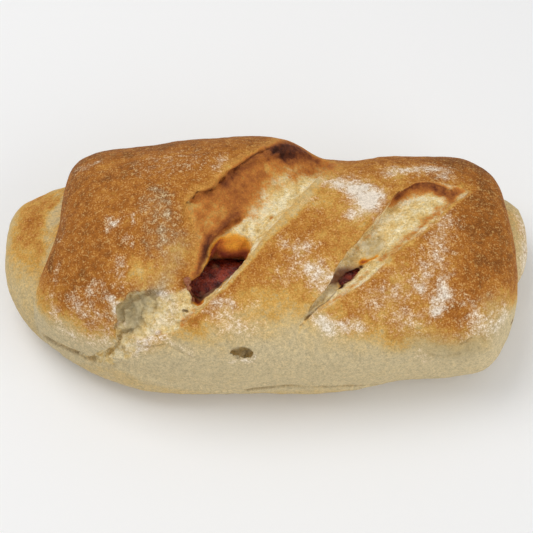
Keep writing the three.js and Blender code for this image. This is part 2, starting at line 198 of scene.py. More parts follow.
# Flour on the crust, and a painted highlight on the hole's lower rim: a line of pixels, how far it reaches in mm, and
# how thick it lies
FLOUR = {
    "left blob": ([(111, 224)], 3.0, 0.62),
    "beside it": ([(133, 217)], 1.6, 0.37),
    "under it": ([(130, 240)], 1.9, 0.31),
    "left of the golden strip": ([(119, 266), (121, 277)], 2.6, 0.31),
    "left corner": ([(78, 170), (92, 164)], 2.0, 0.28),
    "left edge, upper": ([(66, 215), (60, 240)], 1.5, 0.22),
    "left edge, lower": ([(57, 262), (54, 285)], 1.6, 0.31),
    "left foot": ([(50, 297), (54, 318)], 1.8, 0.37),
    "flap, left": ([(75, 300), (80, 312)], 3.2, 0.36),
    "flap, top": ([(92, 293), (101, 288)], 2.6, 0.34),
    "flap edge": ([(109, 298), (115, 313)], 1.7, 0.53),
    "flap, low": ([(62, 330), (82, 338), (104, 340)], 3.6, 0.38),
    "flap, middle": ([(92, 318), (100, 325)], 4, 0.25),
    "dusky patch": ([(157, 200), (160, 215), (165, 240)], 5.5, 0.12),
    "over ear 1": ([(216, 168), (227, 160)], 3.0, 0.31),
    "crown": ([(150, 165), (190, 158)], 6, 0.14),
    "between, top": ([(345, 180), (362, 193), (374, 205)], 5.2, 0.5),
    "between, top core": ([(358, 186), (366, 197)], 2.6, 0.37),
    "between, left": ([(322, 178), (335, 182)], 3.0, 0.44),
    "upper rim": ([(388, 172), (420, 168), (446, 172)], 3.4, 0.5),
    "band, 1": ([(311, 205)], 2.5, 0.28),
    "band, 2": ([(283, 240)], 2.6, 0.34),
    "band, 3": ([(296, 247), (312, 240)], 2.3, 0.37),
    "band, 4": ([(313, 268), (324, 284)], 4, 0.52),
    "middle, 1": ([(212, 309), (226, 308)], 3.6, 0.38),
    "middle, 2": ([(250, 303)], 2.1, 0.37),
    "middle, 3": ([(222, 331), (236, 322)], 3, 0.31),
    "middle, 4": ([(240, 331), (256, 329)], 3.4, 0.26),
    "middle, 5": ([(283, 275), (300, 262)], 4, 0.19),
    "right, white": ([(322, 322), (327, 324)], 3.0, 0.62),
    "right, low": ([(338, 330), (360, 328)], 2.8, 0.5),
    "right, 1": ([(424, 286)], 3.0, 0.55),
    "right, 2": ([(434, 308), (440, 300), (447, 293)], 2.6, 0.7),
    "right, 3": ([(445, 282), (450, 276)], 2.4, 0.31),
    "right, 4": ([(474, 316), (478, 322)], 3.6, 0.42),
    "right, 5": ([(466, 336), (482, 333)], 2.8, 0.22),
    "right, 6": ([(464, 301)], 2.4, 0.34),
    "right, 7": ([(400, 318), (415, 322)], 4, 0.34),
    "right, 8": ([(378, 300), (395, 290)], 6, 0.3),
    "pink strip": ([(446, 220), (437, 250), (430, 268)], 4.2, 0.34),
    "pink strip, low": ([(405, 268), (420, 262)], 3.4, 0.08),
    "right front": ([(495, 330), (506, 312)], 4, 0.45),
    "under the wrinkle": ([(418, 357), (432, 360)], 2.6, 0.25),
    "by the tear": ([(168, 340), (182, 347), (192, 356)], 1.6, 0.37),
    # painted highlight: the hole's lower rim, lit from above, is painted in flour's colour
    "lit lower rim of the hole": ([(232, 361), (248, 364), (257, 358)], 1.0, 0.6),
    "tear, white": ([(162, 300), (174, 305), (170, 318), (158, 330)], 3.2, 0.85),
    "tear, low": ([(122, 348), (138, 345), (150, 338)], 3.0, 0.7),
    "over ear 2": ([(352, 213), (366, 207), (378, 196)], 3, 0.45),
    "right roll": ([(523, 225), (524, 265)], 6, 0.55),
    "flap's edge": ([(147, 288.5), (132, 293), (117, 304), (116, 314), (118, 323), (115, 331)], 0.8, 0.35),
    "shelf": ([(118, 325.5), (125, 327), (131, 326)], 0.9, 0.8),
}
# Edges that caught, and painted shadow in the cracks, creases, gaps and hole: a line of pixels, how far it reaches in
# mm, and how dark
CHAR_AND_SHADOW = {
    "crest of ear 1": ([(277, 149), (286, 146), (298, 147), (308, 153)], 2.0, 0.1),
    # the cracks of both ears, slit 2 and the end of slash 2, the foot, the places under the flap, the shelf's shadow
    # and the hole are painted shadow; the hollow's edge is partly caught, partly painted shadow, and the line over the
    # sausage partly stain, partly painted shadow
    "crack of ear 1, upper": ([(269, 149), (263, 152), (257, 154), (250, 158), (243, 163), (235, 169)], 0.5, 0.72),
    "crack of ear 1, middle": ([(229, 172), (224, 178), (219, 183)], 0.5, 0.72),
    "crack of ear 1, lower": ([(212, 189), (204, 192), (197, 192), (195, 195), (192, 199), (187, 203)], 0.5, 0.72),
    "crack of ear 1, end": ([(187, 210), (184, 217)], 0.6, 0.25),
    "hollow's edge": ([(230, 227), (222, 234), (215, 242), (211, 248), (207, 254), (203, 262),
        (200, 270)], 0.9, 0.25),
    "foot": ([(246, 390), (271, 387.4), (322, 387), (359, 386), (400, 381)], 0.45, 0.42),
    "over the sausage": ([(207, 257), (226, 257.5), (247, 257)], 0.6, 0.5),
    "crack of ear 2, top": ([(452, 191), (440, 186), (429, 183), (418, 184), (409, 188), (399, 192),
        (393, 197)], 0.5, 0.6),
    "crack of ear 2, side": ([(387, 204), (378, 218), (367, 232), (357, 242), (347, 256)], 0.5, 0.45),
    "slit 2": ([(361, 267), (352, 276), (342, 287)], 1.2, 0.9),
    "end of slash 2": ([(340, 288), (330, 299), (319, 307), (309, 316), (300, 326)], 0.45, 0.6),
    "speck at the lip": ([(183.5, 310), (187, 311)], 0.5, 1.0),
    "nick": ([(511, 324), (513, 320)], 0.6, 0.9),
    "dot by slash 2": ([(445, 194)], 0.5, 0.7),
    "hole": ([(234, 351), (247, 352)], 1.6, 0.36),
    "gap under the flap": ([(44, 336), (56, 343.5), (68, 349.5), (80, 354.5), (90, 358)], 1.0, 0.38),
    "shadow under the flap": ([(93, 359), (104, 355), (114, 348)], 0.7, 0.15),
    "shelf's shadow": ([(122, 333), (129, 331), (136, 329)], 0.8, 0.25),
    "under the flap's edge": ([(157, 294), (148, 293), (141, 295), (135, 298), (129, 302), (122, 308), (121, 314),
        (122, 321)], 0.6, 0.12),
}
# The slope under ear 1, toasted between the ear and the crumb or the hollow's edge
SLOPE = [
    (187, 206), (193, 199), (198, 192), (212, 188), (224, 177), (228, 172), (243, 162), (257, 152), (269, 146),
    (277, 139), (290, 134), (305, 135), (322, 146), (338, 166), (336, 172), (326, 171), (317, 167), (304, 164),
    (295, 165), (287, 167), (277, 173), (270, 181), (262, 184), (254, 190), (251, 201), (247, 213), (240, 219),
    (233, 223), (225, 229), (218, 235), (212, 243), (208, 250), (205, 258), (202, 266), (198, 273), (195, 280),
    (195, 272), (199, 258), (200, 244), (194, 226), (190, 214),
]
HOLLOW_EDGE = [
    (247, 215), (240, 219), (233, 223), (225, 229), (218, 235), (212, 243), (208, 250), (205, 258), (202, 266),
    (198, 273), (195, 280),
]
# The pale, smooth skin at the lower left of slash 1, which never tore open
PALE_SKIN = [
    (182, 205), (190, 226), (195, 246), (194, 262), (192, 276), (188, 283), (176, 287), (160, 290), (150, 290),
    (158, 265), (166, 240),
]
PIT_BY_MOUND = [(244, 227), (240, 224)]  # a pit beside the swollen crumb that is filled
STEP_BY_SKIN = [(186, 214), (183, 235), (174, 260), (166, 282)]  # where that skin runs smoothly into the crust
# Toasted places, and a painted shadow along the side of ear 2, as above: on the slope they add to its own toast
TOASTED = {
    "crest": ([(275, 151), (289, 148), (303, 151), (314, 158)], 3.3, 0.38),
    "under the crest": ([(284, 158), (300, 160)], 2.8, 0.24),
    "end of the crest": ([(318, 163), (328, 169)], 2.0, 0.12),
    "golden fringe": ([(324, 175), (306, 172), (290, 175), (281, 186), (268, 192), (260, 208), (256, 220)], 3.0, 0.2),
    "ear, upper": ([(269, 151), (256, 156), (243, 165)], 2.8, 0.38),
    "ear, middle": ([(234, 172), (224, 182)], 2.2, 0.3),
    "ear, lower": ([(208, 192), (196, 197)], 1.8, 0.16),
    "slope, middle": ([(262, 166), (250, 176)], 3.0, 0.08),
    "slope, dark": ([(240, 200), (228, 214)], 2.5, 0.06),
    "hollow's edge": ([(236, 221), (229, 225), (223, 229), (216, 236), (210, 244), (205, 255), (201, 265),
        (197, 273)], 2.3, 0.44),
    "spot, 2": ([(271, 218)], 0.9, 0.4),
    "streak": ([(262, 186), (258, 200)], 1.4, 0.12),
    "under ear 2": ([(396, 197), (406, 189), (418, 185), (430, 185), (442, 189)], 2.6, 0.62),
    "fringe under ear 2": ([(398, 201), (408, 195), (420, 192), (434, 193), (446, 196)], 2.4, 0.2),
    "top of slash 2": ([(448, 195), (457, 192)], 2.6, 0.16),
    # painted shadow, in toast's colours, along the side of ear 2
    "shadow along the side of ear 2": ([(391, 203), (378, 221), (366, 237), (356, 250)], 0.9, 0.25),
    "rim of slash 2": ([(458, 192), (449, 203), (430, 219), (413, 234), (397, 247), (382, 260)], 2.3, 0.36),
    "rim of slash 2, low": ([(367, 274), (351, 288), (335, 300), (322, 308)], 1.5, 0.3),
    "rim of slash 1": ([(268, 236), (252, 258), (236, 278), (220, 295), (206, 307)], 1.6, 0.38),
    "lip of slash 1": ([(322, 176), (300, 200), (280, 223), (262, 243)], 1.4, 0.16),
    "tip by the sausage": ([(193, 290), (193, 303)], 1.0, 0.4),
    "lip corner": ([(184, 323), (196, 312)], 2.6, 0.34),
    "ridge by the tear": ([(143, 343), (155, 340), (166, 336)], 1.1, 0.36),
    "corner of slash 2": ([(463, 188), (457, 193)], 2.4, 0.12),
    "over the crest": ([(281, 144), (296, 143.5), (309, 150)], 2.6, 0.2),
    "golden top of the crumb": ([(296, 177), (309, 172)], 3.0, 0.2),
}
# Where the sausage's fat has stained the crumb, as above
STAINED = {
    "mound": ([(222, 244), (234, 239), (243, 242)], 3.0, 0.62),
    "mound, low": ([(212, 254), (228, 256.5), (244, 255)], 2.6, 0.85),
    "hollow's edge": ([(217, 238), (209, 252), (203, 268)], 1.6, 0.8),
    "beside slit 2": ([(362, 262), (369, 260), (376, 257)], 1.1, 0.65),
    "around the slit": ([(362, 264), (350, 275), (340, 287)], 1.5, 0.4),
    "end of the opening": ([(195, 299), (200, 304)], 1.5, 1.0),
    "strip by the sausage": ([(190, 288), (192, 298)], 0.9, 0.7),
    "edge of the opening": ([(243, 262), (228, 279), (212, 296)], 0.7, 0.45),
}
# Greyish places, as above: greyish dusty crumb and skin, and painted shade on the tear's floor, on slash 2's wall and
# in its air pocket, in the hole and along the lower front
DUST_AND_SHADE = {
    "floor of the tear": ([(124, 312), (138, 303), (152, 297)], 5.0, 0.75),
    "floor of the tear, low": ([(124, 332), (140, 322)], 3.4, 0.55),
    "wall of slash 2": ([(352, 262), (338, 282), (322, 300), (308, 317)], 2.4, 0.35),
    "pocket in slash 2": ([(370, 243), (379, 240), (381, 250), (372, 252)], 1.8, 0.6),
    "pale skin": ([(184, 242), (174, 262), (165, 284)], 4.5, 0.3),
    "dusky patch": ([(158, 200), (164, 222), (158, 240)], 6, 0.3),
    "front": ([(130, 374), (200, 370), (300, 378), (400, 370), (470, 352)], 9, 0.14),
    "hole": ([(234, 352), (247, 352)], 2.0, 0.3),
    "right front": ([(418, 342), (455, 352), (492, 332), (490, 308)], 6, 0.42),
}
# Creases and cracks: a line of pixels, half their width and their depth in mm
CREASES = {
    "gap under the flap": ([(44, 336), (56, 343.5), (68, 349.5), (80, 354.5)], 1.1, 3.0),
    "under the flap, right": ([(80, 354.5), (93, 358), (104, 354), (114, 348), (119, 338)], 0.8, 1.2),
    "rim of the air pocket": ([(371, 238), (378, 237), (384, 242), (385, 250), (381, 255)], 0.6, 1.3),
    "hollow's edge": ([(240, 221), (233, 225), (226, 231), (219, 238), (213, 246), (209, 253)], 0.8, 1.2),
    "hole": ([(235, 352), (247, 352)], 1.8, 2.8),
    "foot": ([(246, 390), (259, 388.6), (271, 387.2), (287, 386.7), (322, 387), (359, 386), (400, 381)], 0.45, 2.2),
    "crack of ear 1, upper": ([(269, 148), (265, 151), (257, 154), (251, 158), (243, 163.5), (235, 169.5),
        (227, 173.5)], 0.45, 1.3),
    "crack of ear 1, lower": ([(224, 178), (219, 184), (212, 189.5), (204, 192.5), (197, 192.5), (195, 196),
        (192, 200), (187, 203.5)], 0.4, 1.0),
    "notch of ear 1": ([(271, 155), (275, 151), (281, 147)], 0.45, 0.9),
    "roll's fold": ([(11, 272), (23, 271), (33, 275), (41, 282)], 0.5, 0.4),
    "wrinkle by the tear, 1": ([(166, 345), (178, 351), (191, 357)], 0.35, 0.6),
    "wrinkle by the tear, 2": ([(171, 338), (182, 345), (194, 352)], 0.35, 0.45),
    "ridge's shadow": ([(141, 347), (152, 346), (164, 345)], 0.45, 0.8),
    "right crease": ([(460, 345), (466, 342), (471, 338)], 0.4, 0.7),
    "right crease, low": ([(430, 354), (444, 357), (460, 353)], 0.4, 0.45),
    "speck at the lip": ([(183.5, 310), (187, 311)], 0.4, 1.4),
    "nick": ([(511, 324), (513, 320)], 0.5, 1.2),
    "end of slash 2": ([(330, 299), (319, 307), (309, 316), (300, 326)], 0.35, 1.0),
    "shelf's shadow": ([(120, 333), (129, 331), (137, 328)], 0.8, 1.2),
    "under the flap's edge": ([(157, 294), (148, 293), (141, 295), (135, 298), (129, 302), (122, 308), (121, 314),
        (122, 321)], 0.7, 0.9),
    "torn strand, 1": ([(127, 304), (133, 311), (130, 319)], 0.6, 0.9),
    "torn strand, 2": ([(140, 298), (145, 307), (140, 318), (144, 326)], 0.6, 1.0),
    "torn strand, 3": ([(153, 295), (157, 304), (152, 314), (154, 322)], 0.6, 0.9),
    "torn strand, 4": ([(168, 296), (171, 306), (166, 316)], 0.5, 0.7),
}
# Ridges, as above
RIDGES = {
    "side of the hollow": ([(240, 216), (230, 221), (221, 228), (212, 237), (206, 247), (203, 257)], 1.2, 0.9),
    "mound": ([(226, 243), (238, 241)], 3.0, 1.2),
    "shelf": ([(118, 326), (124, 327), (130, 326)], 0.9, 1.3),
    "lip of the crack": ([(262, 148), (250, 154), (238, 163), (226, 169), (217, 180), (206, 188),
        (192, 194)], 1.0, 0.35),
    "wrinkle at the right": ([(426, 350), (435, 353), (444, 354), (460, 349.5), (468, 345)], 0.4, 0.4),
    "wrinkle below it": ([(457, 355), (473, 356)], 0.35, 0.3),
    "ridge by the tear": ([(142, 343), (152, 342), (164, 337)], 0.9, 0.7),
    "pale ridge at the foot": ([(97, 363), (115, 369), (131, 374)], 1.0, 0.5),
}
SCRAP = [(187, 281), (189, 288), (191, 294), (193, 300)]  # the scrap of meat beside the opening, in pixels,
SCRAP_SIZES = [(1.6, 1.4, 1.4), (1.4, 0.8, 1.1), (1.5, 0.7, 0.9), (1.3, 0.7, 0.8)]  # and its lumps' half sizes in mm
END_DRAWN_IN = 1.4  # mm by which the wrap's right end stands further left than in the solid
FOOT_OF_SLASH = 0.8  # how deep in mm slash 2 stays as it is below its opening,
FLOOR_RAISED = 0.6  # and how much of what is deeper is filled
AIR_POCKET = ([(372, 241), (379, 246), (373, 251)], 2.6, 0.9)  # in slash 2: its middle line, reach and depth

PHOTO_SIZE = 533
CAMERA_LENS = 100.0  # mm, and so are the sensor and the distance
CAMERA_SENSOR = 36.0
CAMERA_ELEVATION = 58.0  # degrees above the floor
CAMERA_DISTANCE = 525.0
CAMERA_TARGET = (-0.4, -0.17, 23.0)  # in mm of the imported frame

HASH_PRIMES = np.array([374761393, 668265263, 2147483629])  # large odd numbers that scatter the noise's cells
HASH_MIXER = 1274126177


# --- Small tools -----------------------------------------------------------------------------------------------------


def linear(code):
    """An sRGB hex colour as linear RGBA."""
    parts = [int(code[i : i + 2], 16) / 255 for i in (1, 3, 5)]
    return (*[c / 12.92 if c <= 0.04045 else ((c + 0.055) / 1.055) ** 2.4 for c in parts], 1.0)


def ramp(start, end, value):
    """0 before start, 1 after end, and smooth between them."""
    share = np.clip((value - start) / (end - start), 0, 1)
    return share * share * (3 - 2 * share)


def hill(distance, width):
    """1 at no distance, and falling smoothly to about a third at the width."""
    return np.exp(-((distance / width) ** 2))


def along(stations, x, column=1):
    """The value at x on a smooth line through stations [x, value, ...], with the values in this column."""
    table = np.asarray(stations, float)
    places, values = table[:, 0], table[:, column]
    x = np.clip(x, places[0], places[-1])
    i = np.clip(np.searchsorted(places, x) - 1, 0, len(places) - 2)
    before = np.maximum(np.arange(len(places)) - 1, 0)
    after = np.minimum(np.arange(len(places)) + 1, len(places) - 1)
    slopes = (values[after] - values[before]) / (places[after] - places[before])
    step = places[i + 1] - places[i]
    t = (x - places[i]) / step
    bend = (1 - t) ** 2 * t * slopes[i] * step - (1 - t) * t * t * slopes[i + 1] * step
    return values[i] + (values[i + 1] - values[i]) * t * t * (3 - 2 * t) + bend


def lumps(points, size, seed=0):
    """Smooth noise from -1 to 1, with a lump about every size, and the same on each run."""
    cell = np.floor(points / size).astype(np.int64)
    part = points / size - cell
    part = part * part * (3 - 2 * part)
    total = np.zeros(len(points))
    for corner in itertools.product((0, 1), repeat=3):
        key = cell + corner
        mixed = (key @ HASH_PRIMES + seed * HASH_MIXER) & 0xFFFFFFFF
        mixed = ((mixed ^ (mixed >> 13)) * HASH_MIXER) & 0xFFFFFFFF
        value = ((mixed ^ (mixed >> 16)) & 0xFFFFFF) / 0xFFFFFF
        total += value * np.prod(np.where(corner, part, 1 - part), axis=1)
    return 2 * total - 1


# --- Coordinates on the crust ----------------------------------------------------------------------------------------


def section_radius(half, crown, widest, angle):
    """How far the skin lies from the middle of the widest line, at an angle of the cross-section."""
    c, s = np.abs(np.cos(angle)), np.sin(angle)
    reach = np.where(s > 0, crown - widest, widest * BELLY_SAG)
    power = np.where(s > 0, DOME_POWER, BELLY_POWER)
    return ((c / half) ** power + (np.abs(s) / reach) ** power) ** (-1 / power)


def end_share(ends, squareness, x):
    """How much of its full section the loaf has at x: nearly 1 along it, and 0 at its rounded ends."""
    t = np.clip(np.abs((2 * x - ends[0] - ends[1]) / (ends[1] - ends[0])), 0, 1)
    return (1 - t**squareness) ** (1 / squareness)


def crust_height(x, degrees):
    """How far the crust stands out of the plain wrap."""
    beyond = x - along(RISE_EDGE, degrees)
    around = ramp(*RISE_BACK, degrees) * (1 - ramp(*RISE_FRONT, degrees))
    left = hill(np.minimum(0, beyond + EAR_SHOULDER), RISE_WIDTH)
    rise = EAR_RISE * around * left * (1 - ramp(-EAR_SHOULDER, EAR_DROP, beyond))
    turn = np.radians(degrees)
    broad = np.sin(0.083 * x + 1.3) * np.cos(2 * turn + 0.4)
    close = np.sin(0.21 * x + 2 * np.sin(2 * turn)) * np.cos(3 * turn + 0.05 * x)
    return rise + UNEVENNESS * (0.6 * broad + 0.4 * close)


def crust_places(points):
    """Points in mm as places on the wrap: degrees, x before the ends splay, depth below the crust, and the way out."""
    x, y, z = points.T
    splay = WRAP_SPLAY * (1 - ramp(*WRAP_SPLAY_FROM, y))
    reach = np.abs(x)
    for _ in range(12):
        reach = np.clip(np.abs(x) - splay * (reach / abs(WRAP_ENDS[0])) ** 3, 0, None)
    u = np.where(x < 0, -reach, x / (1 - WRAP_LEAN * y))
    middle, half, crown, widest = (along(WRAP, u, column) for column in (1, 2, 3, 4))
    angle = np.arctan2(z - widest, y - middle)
    degrees = np.degrees(angle)
    degrees = np.where(degrees < -90, degrees + 360, degrees)
    share = end_share(WRAP_ENDS, WRAP_SQUARENESS, u)
    skin = share * (section_radius(half, crown, widest, angle) + crust_height(u, degrees))
    depth = skin - np.hypot(y - middle, z - widest)
    out = np.stack([np.zeros_like(angle), np.cos(angle), np.sin(angle)], axis=1)
    return degrees, u, depth, out


def roll_places(points):
    """Points in mm as places on the inner roll: depth below its skin, and the way out."""
    x, y, z = points.T
    middle, half, crown, widest = (along(INNER, x, column) for column in (1, 2, 3, 4))
    angle = np.arctan2(z - widest, y - middle)
    skin = end_share(INNER_ENDS, INNER_SQUARENESS, x) * section_radius(half, crown, widest, angle)
    out = np.stack([np.zeros_like(angle), np.cos(angle), np.sin(angle)], axis=1)
    return skin - np.hypot(y - middle, z - widest), out


# --- Places read from the photograph ----------------------------------------------------------------------------------


def camera_axes():
    """The photograph's camera in metres: its place, and the ways back, right and up."""
    e = math.radians(CAMERA_ELEVATION)
    back = Vector((0, -math.cos(e), math.sin(e)))
    right = Vector((1, 0, 0))
    place = (Vector(CAMERA_TARGET) + back * CAMERA_DISTANCE) * MM
    return place, back, right, back.cross(right)


def surface_of(piece):
    """A search tree on a piece's faces, in metres."""
    mesh = piece.data
    return BVHTree.FromPolygons([v.co.copy() for v in mesh.vertices], [tuple(f.vertices) for f in mesh.polygons])


def on_surface(tree, pixel):
    """Where the ray through a pixel of the photograph meets the surface, in mm of the loaf's own coordinates.

    A ray that just passes the surface gives the place that it comes nearest to."""
    place, back, right, up = camera_axes()
    focal = CAMERA_LENS / CAMERA_SENSOR * PHOTO_SIZE
    half = PHOTO_SIZE / 2
    way = (right * ((pixel[0] - half) / focal) - up * ((pixel[1] - half) / focal) - back).normalized()
    hit = tree.ray_cast(place, way)[0]
    if hit is None:
        steps = [place + way * (CAMERA_DISTANCE + step) * MM for step in range(-60, 60)]
        hit = min((tree.find_nearest(step) for step in steps), key=lambda found: found[3])[0]
    return np.array(hit) / MM - SHIFT


def pixels_of(points):
    """Where the photograph shows each point, in pixels."""
    place, back, right, up = (np.array(v) for v in camera_axes())
    way = (points + SHIFT) * MM - place
    scale = CAMERA_LENS / CAMERA_SENSOR * PHOTO_SIZE / -(way @ back)
    return np.stack([PHOTO_SIZE / 2 + way @ right * scale, PHOTO_SIZE / 2 - way @ up * scale], axis=1)


def within(points, outline):
    """How many pixels each point lies inside an outline on the photograph, negative where it is outside."""
    spots = pixels_of(points)
    corners = np.array(outline, float)
    nearest = np.full(len(spots), 1e9)
    crossings = np.zeros(len(spots), int)
    for start, end in zip(corners, np.roll(corners, -1, axis=0)):
        way = end - start
        t = np.clip((spots - start) @ way / (way @ way), 0, 1)
        nearest = np.minimum(nearest, np.linalg.norm(spots - start - t[:, None] * way, axis=1))
        spans = (start[1] > spots[:, 1]) != (end[1] > spots[:, 1])
        if way[1]:
            crossings += spans & (spots[:, 0] < start[0] + (spots[:, 1] - start[1]) / way[1] * way[0])
    return np.where(crossings % 2, nearest, -nearest)


def reach_of(points, tree, pixels):
    """Each point's distance in mm from the line through the pixels' places on the surface."""
    stops = np.array([on_surface(tree, pixel) for pixel in pixels])
    nearest = np.linalg.norm(points - stops[0], axis=1)
    for start, end in zip(stops[:-1], stops[1:]):
        way = end - start
        t = np.clip((points - start) @ way / (way @ way), 0, 1)
        nearest = np.minimum(nearest, np.linalg.norm(points - start - t[:, None] * way, axis=1))
    return nearest


def wandering(points, amount):
    """The points, each shifted to and fro by about this many mm, so that what is painted gets natural outlines."""
    shifts = [lumps(points, 7.0, 21 + axis) + 0.6 * lumps(points, 2.4, 31 + axis) for axis in range(3)]
    return points + amount * np.stack(shifts, axis=1)


def painted(points, tree, places, wander):
    """The sum of the named places' strengths at each point, with outlines that wander by about so many mm."""
    total = np.zeros(len(points))
    shifted = wandering(points, wander)
    for pixels, reach, strength in places.values():
        total += strength * hill(reach_of(shifted, tree, pixels), reach)
    return total


# --- The loaf's shape -------------------------------------------------------------------------------------------------


def read_points(piece):
    """The piece's vertices in mm of the loaf's own coordinates."""
    points = np.empty(len(piece.data.vertices) * 3)
    piece.data.vertices.foreach_get("co", points)
    return points.reshape(-1, 3) / MM - SHIFT


def write_points(piece, points):
    """Moves the piece's vertices to these points, in mm of the loaf's own coordinates."""
    piece.data.vertices.foreach_set("co", ((points + SHIFT) * MM).ravel())
    piece.data.update()


def weigh(piece, name, weights):
    """A vertex group with these weights, for a modifier."""
    group = piece.vertex_groups.new(name=name)
    for i in np.nonzero(weights > 0.004)[0]:
        group.add([int(i)], float(weights[i]), "REPLACE")
    return group.name


def only(piece):
    """Selects the piece alone and makes it active."""
    bpy.ops.object.select_all(action="DESELECT")
    piece.select_set(True)
    bpy.context.view_layer.objects.active = piece


def modify(piece, kind, **settings):
    """Adds a modifier to the piece and applies it."""
    only(piece)
    modifier = piece.modifiers.new(kind.title(), kind)
    for name, value in settings.items():
        setattr(modifier, name, value)
    bpy.ops.object.modifier_apply(modifier=modifier.name)


def copy_of(node, name):
    """A copy of a solid as a new piece, its doubles merged."""
    bpy.ops.object.select_all(action="DESELECT")
    source = frame["nodes"][node]
    piece = source.copy()
    piece.data = source.data.copy()
    piece.parent = None
    piece.name = piece.data.name = name
    bpy.context.scene.collection.objects.link(piece)
    piece.data.materials.clear()
    only(piece)
    bpy.ops.object.mode_set(mode="EDIT")
    bpy.ops.mesh.select_all(action="SELECT")
    bpy.ops.mesh.remove_doubles(threshold=1e-6)
    bpy.ops.object.mode_set(mode="OBJECT")
    return piece


def edge_of(tree, pixels):
    """A line of pixels as a line on the crust: [angle, x], point by point."""
    degrees, x = crust_places(np.array([on_surface(tree, pixel) for pixel in pixels]))[:2]
    order = np.argsort(degrees)
    return np.stack([degrees[order], x[order]], axis=1)


def between(places, left, right, soft=0.4):
    """How far a place lies between two lines [angle, x]: 1 inside, 0 outside, and its share of the way across."""
    degrees, x = places[:2]
    start, end = along(left, degrees), along(right, degrees)
    first, last = max(left[0][0], right[0][0]), min(left[-1][0], right[-1][0])
    inside = ramp(-soft, soft, x - start) * (1 - ramp(-soft, soft, x - end))
    inside *= ramp(first - 1, first + 2, degrees) * (1 - ramp(last - 2, last + 1, degrees))
    return inside, (x - start) / np.maximum(end - start, 0.5)


def smooth_on_to_skin(piece):
    """Moves the facets' points on to the crust and the inner roll's skin, where they lie close to it."""
    points = read_points(piece)
    places = crust_places(points)
    _, _, depth, out = places
    # only the points from 0.2 mm outside the skin to 0.55 mm below it move all the way, and none in the slashes
    cut = np.maximum(between(places, EAR_1, LIP_1)[0], between(places, EAR_2, LIP_2)[0])
    cut = np.maximum(cut, between(places, FLAP, TEAR_RIGHT)[0])
    above = ramp(0.8, 3, points[:, 2])
    share = ramp(-0.5, -0.2, depth) * (1 - ramp(0.55, 0.9, depth)) * (1 - cut) * above
    points += out * (depth * share)[:, None]
    depth, out = roll_places(points)
    share = ramp(-0.5, -0.2, depth) * (1 - ramp(0.55, 0.9, depth)) * above
    share *= 1 - ramp(-0.8, -0.3, crust_places(points)[2])
    points += out * (depth * share)[:, None]
    write_points(piece, points)


def settle_ends(piece):
    """Draws the wrap's right end in a little, and lifts the floor at the foot of slash 2."""
    points = read_points(piece)
    places = crust_places(points)
    degrees, x, depth, out = places
    wrapped = np.maximum(ramp(-0.6, 0.0, depth), ramp(0.5, 1.0, -roll_places(points)[0]))
    points[:, 0] -= END_DRAWN_IN * ramp(66, 84, x) * wrapped * (1 - ramp(12, 18, depth))
    slash_2 = between(places, EAR_2, LIP_2)[0] * ramp(129, 136, degrees) * (1 - ramp(8, 10, depth))
    points += out * (np.maximum(depth - FOOT_OF_SLASH, 0) * FLOOR_RAISED * slash_2)[:, None]
    write_points(piece, points)


def ragged_edges(piece):
    """Shifts the ears and the flap's edge to and fro, so that they look torn."""
    points = read_points(piece)
    degrees, x, depth, _ = crust_places(points)
    for edge, reach, size, amount in ((EAR_1, 2.0, 3.0, 0.6), (EAR_2, 1.2, 4.0, 0.3), (FLAP, 2.5, 2.2, 0.9)):
        inside = (degrees > edge[0][0]) & (degrees < edge[-1][0]) & (depth < 5) & (depth > -2)
        near = hill(x - along(edge, degrees), reach) * inside
        line = np.stack([degrees * 0.7, np.zeros_like(x), np.zeros_like(x)], axis=1)
        points[:, 0] += amount * near * (lumps(line, size, 3) + 0.5 * lumps(line, size * 0.4, 4))
    write_points(piece, points)


def crumb_share(points):
    """How far each point is open crumb: 1 in the slashes, in the tear and below the crust, and 0 on the crust."""
    degrees, x, depth, _ = crust_places(points)
    uneven = x + 0.7 * lumps(points, 2.6, 12) + 0.4 * lumps(points, 1.1, 13)
    places = degrees, uneven
    slash_1 = between(places, EAR_1, LIP_1, 1.0)[0] * ramp(0.0, 0.5, depth)
    slash_2 = between(places, EAR_2, LIP_2, 1.0)[0] * ramp(0.0, 0.5, depth)
    tear = between(places, FLAP, TEAR_RIGHT, 0.5)[0] * ramp(0.1, 0.6, depth)
    deep = ramp(1.4, 2.0, depth) * ramp(1, 3, points[:, 2]) * (np.abs(x - 5) < 70)
    near = (depth < 8) & (degrees > 40)
    skin = ramp(-8, -3, within(points, PALE_SKIN) + 1.2 * lumps(points, 2.5, 11)) * near
    return np.maximum.reduce([slash_1, slash_2, tear, deep]) * (1 - skin)


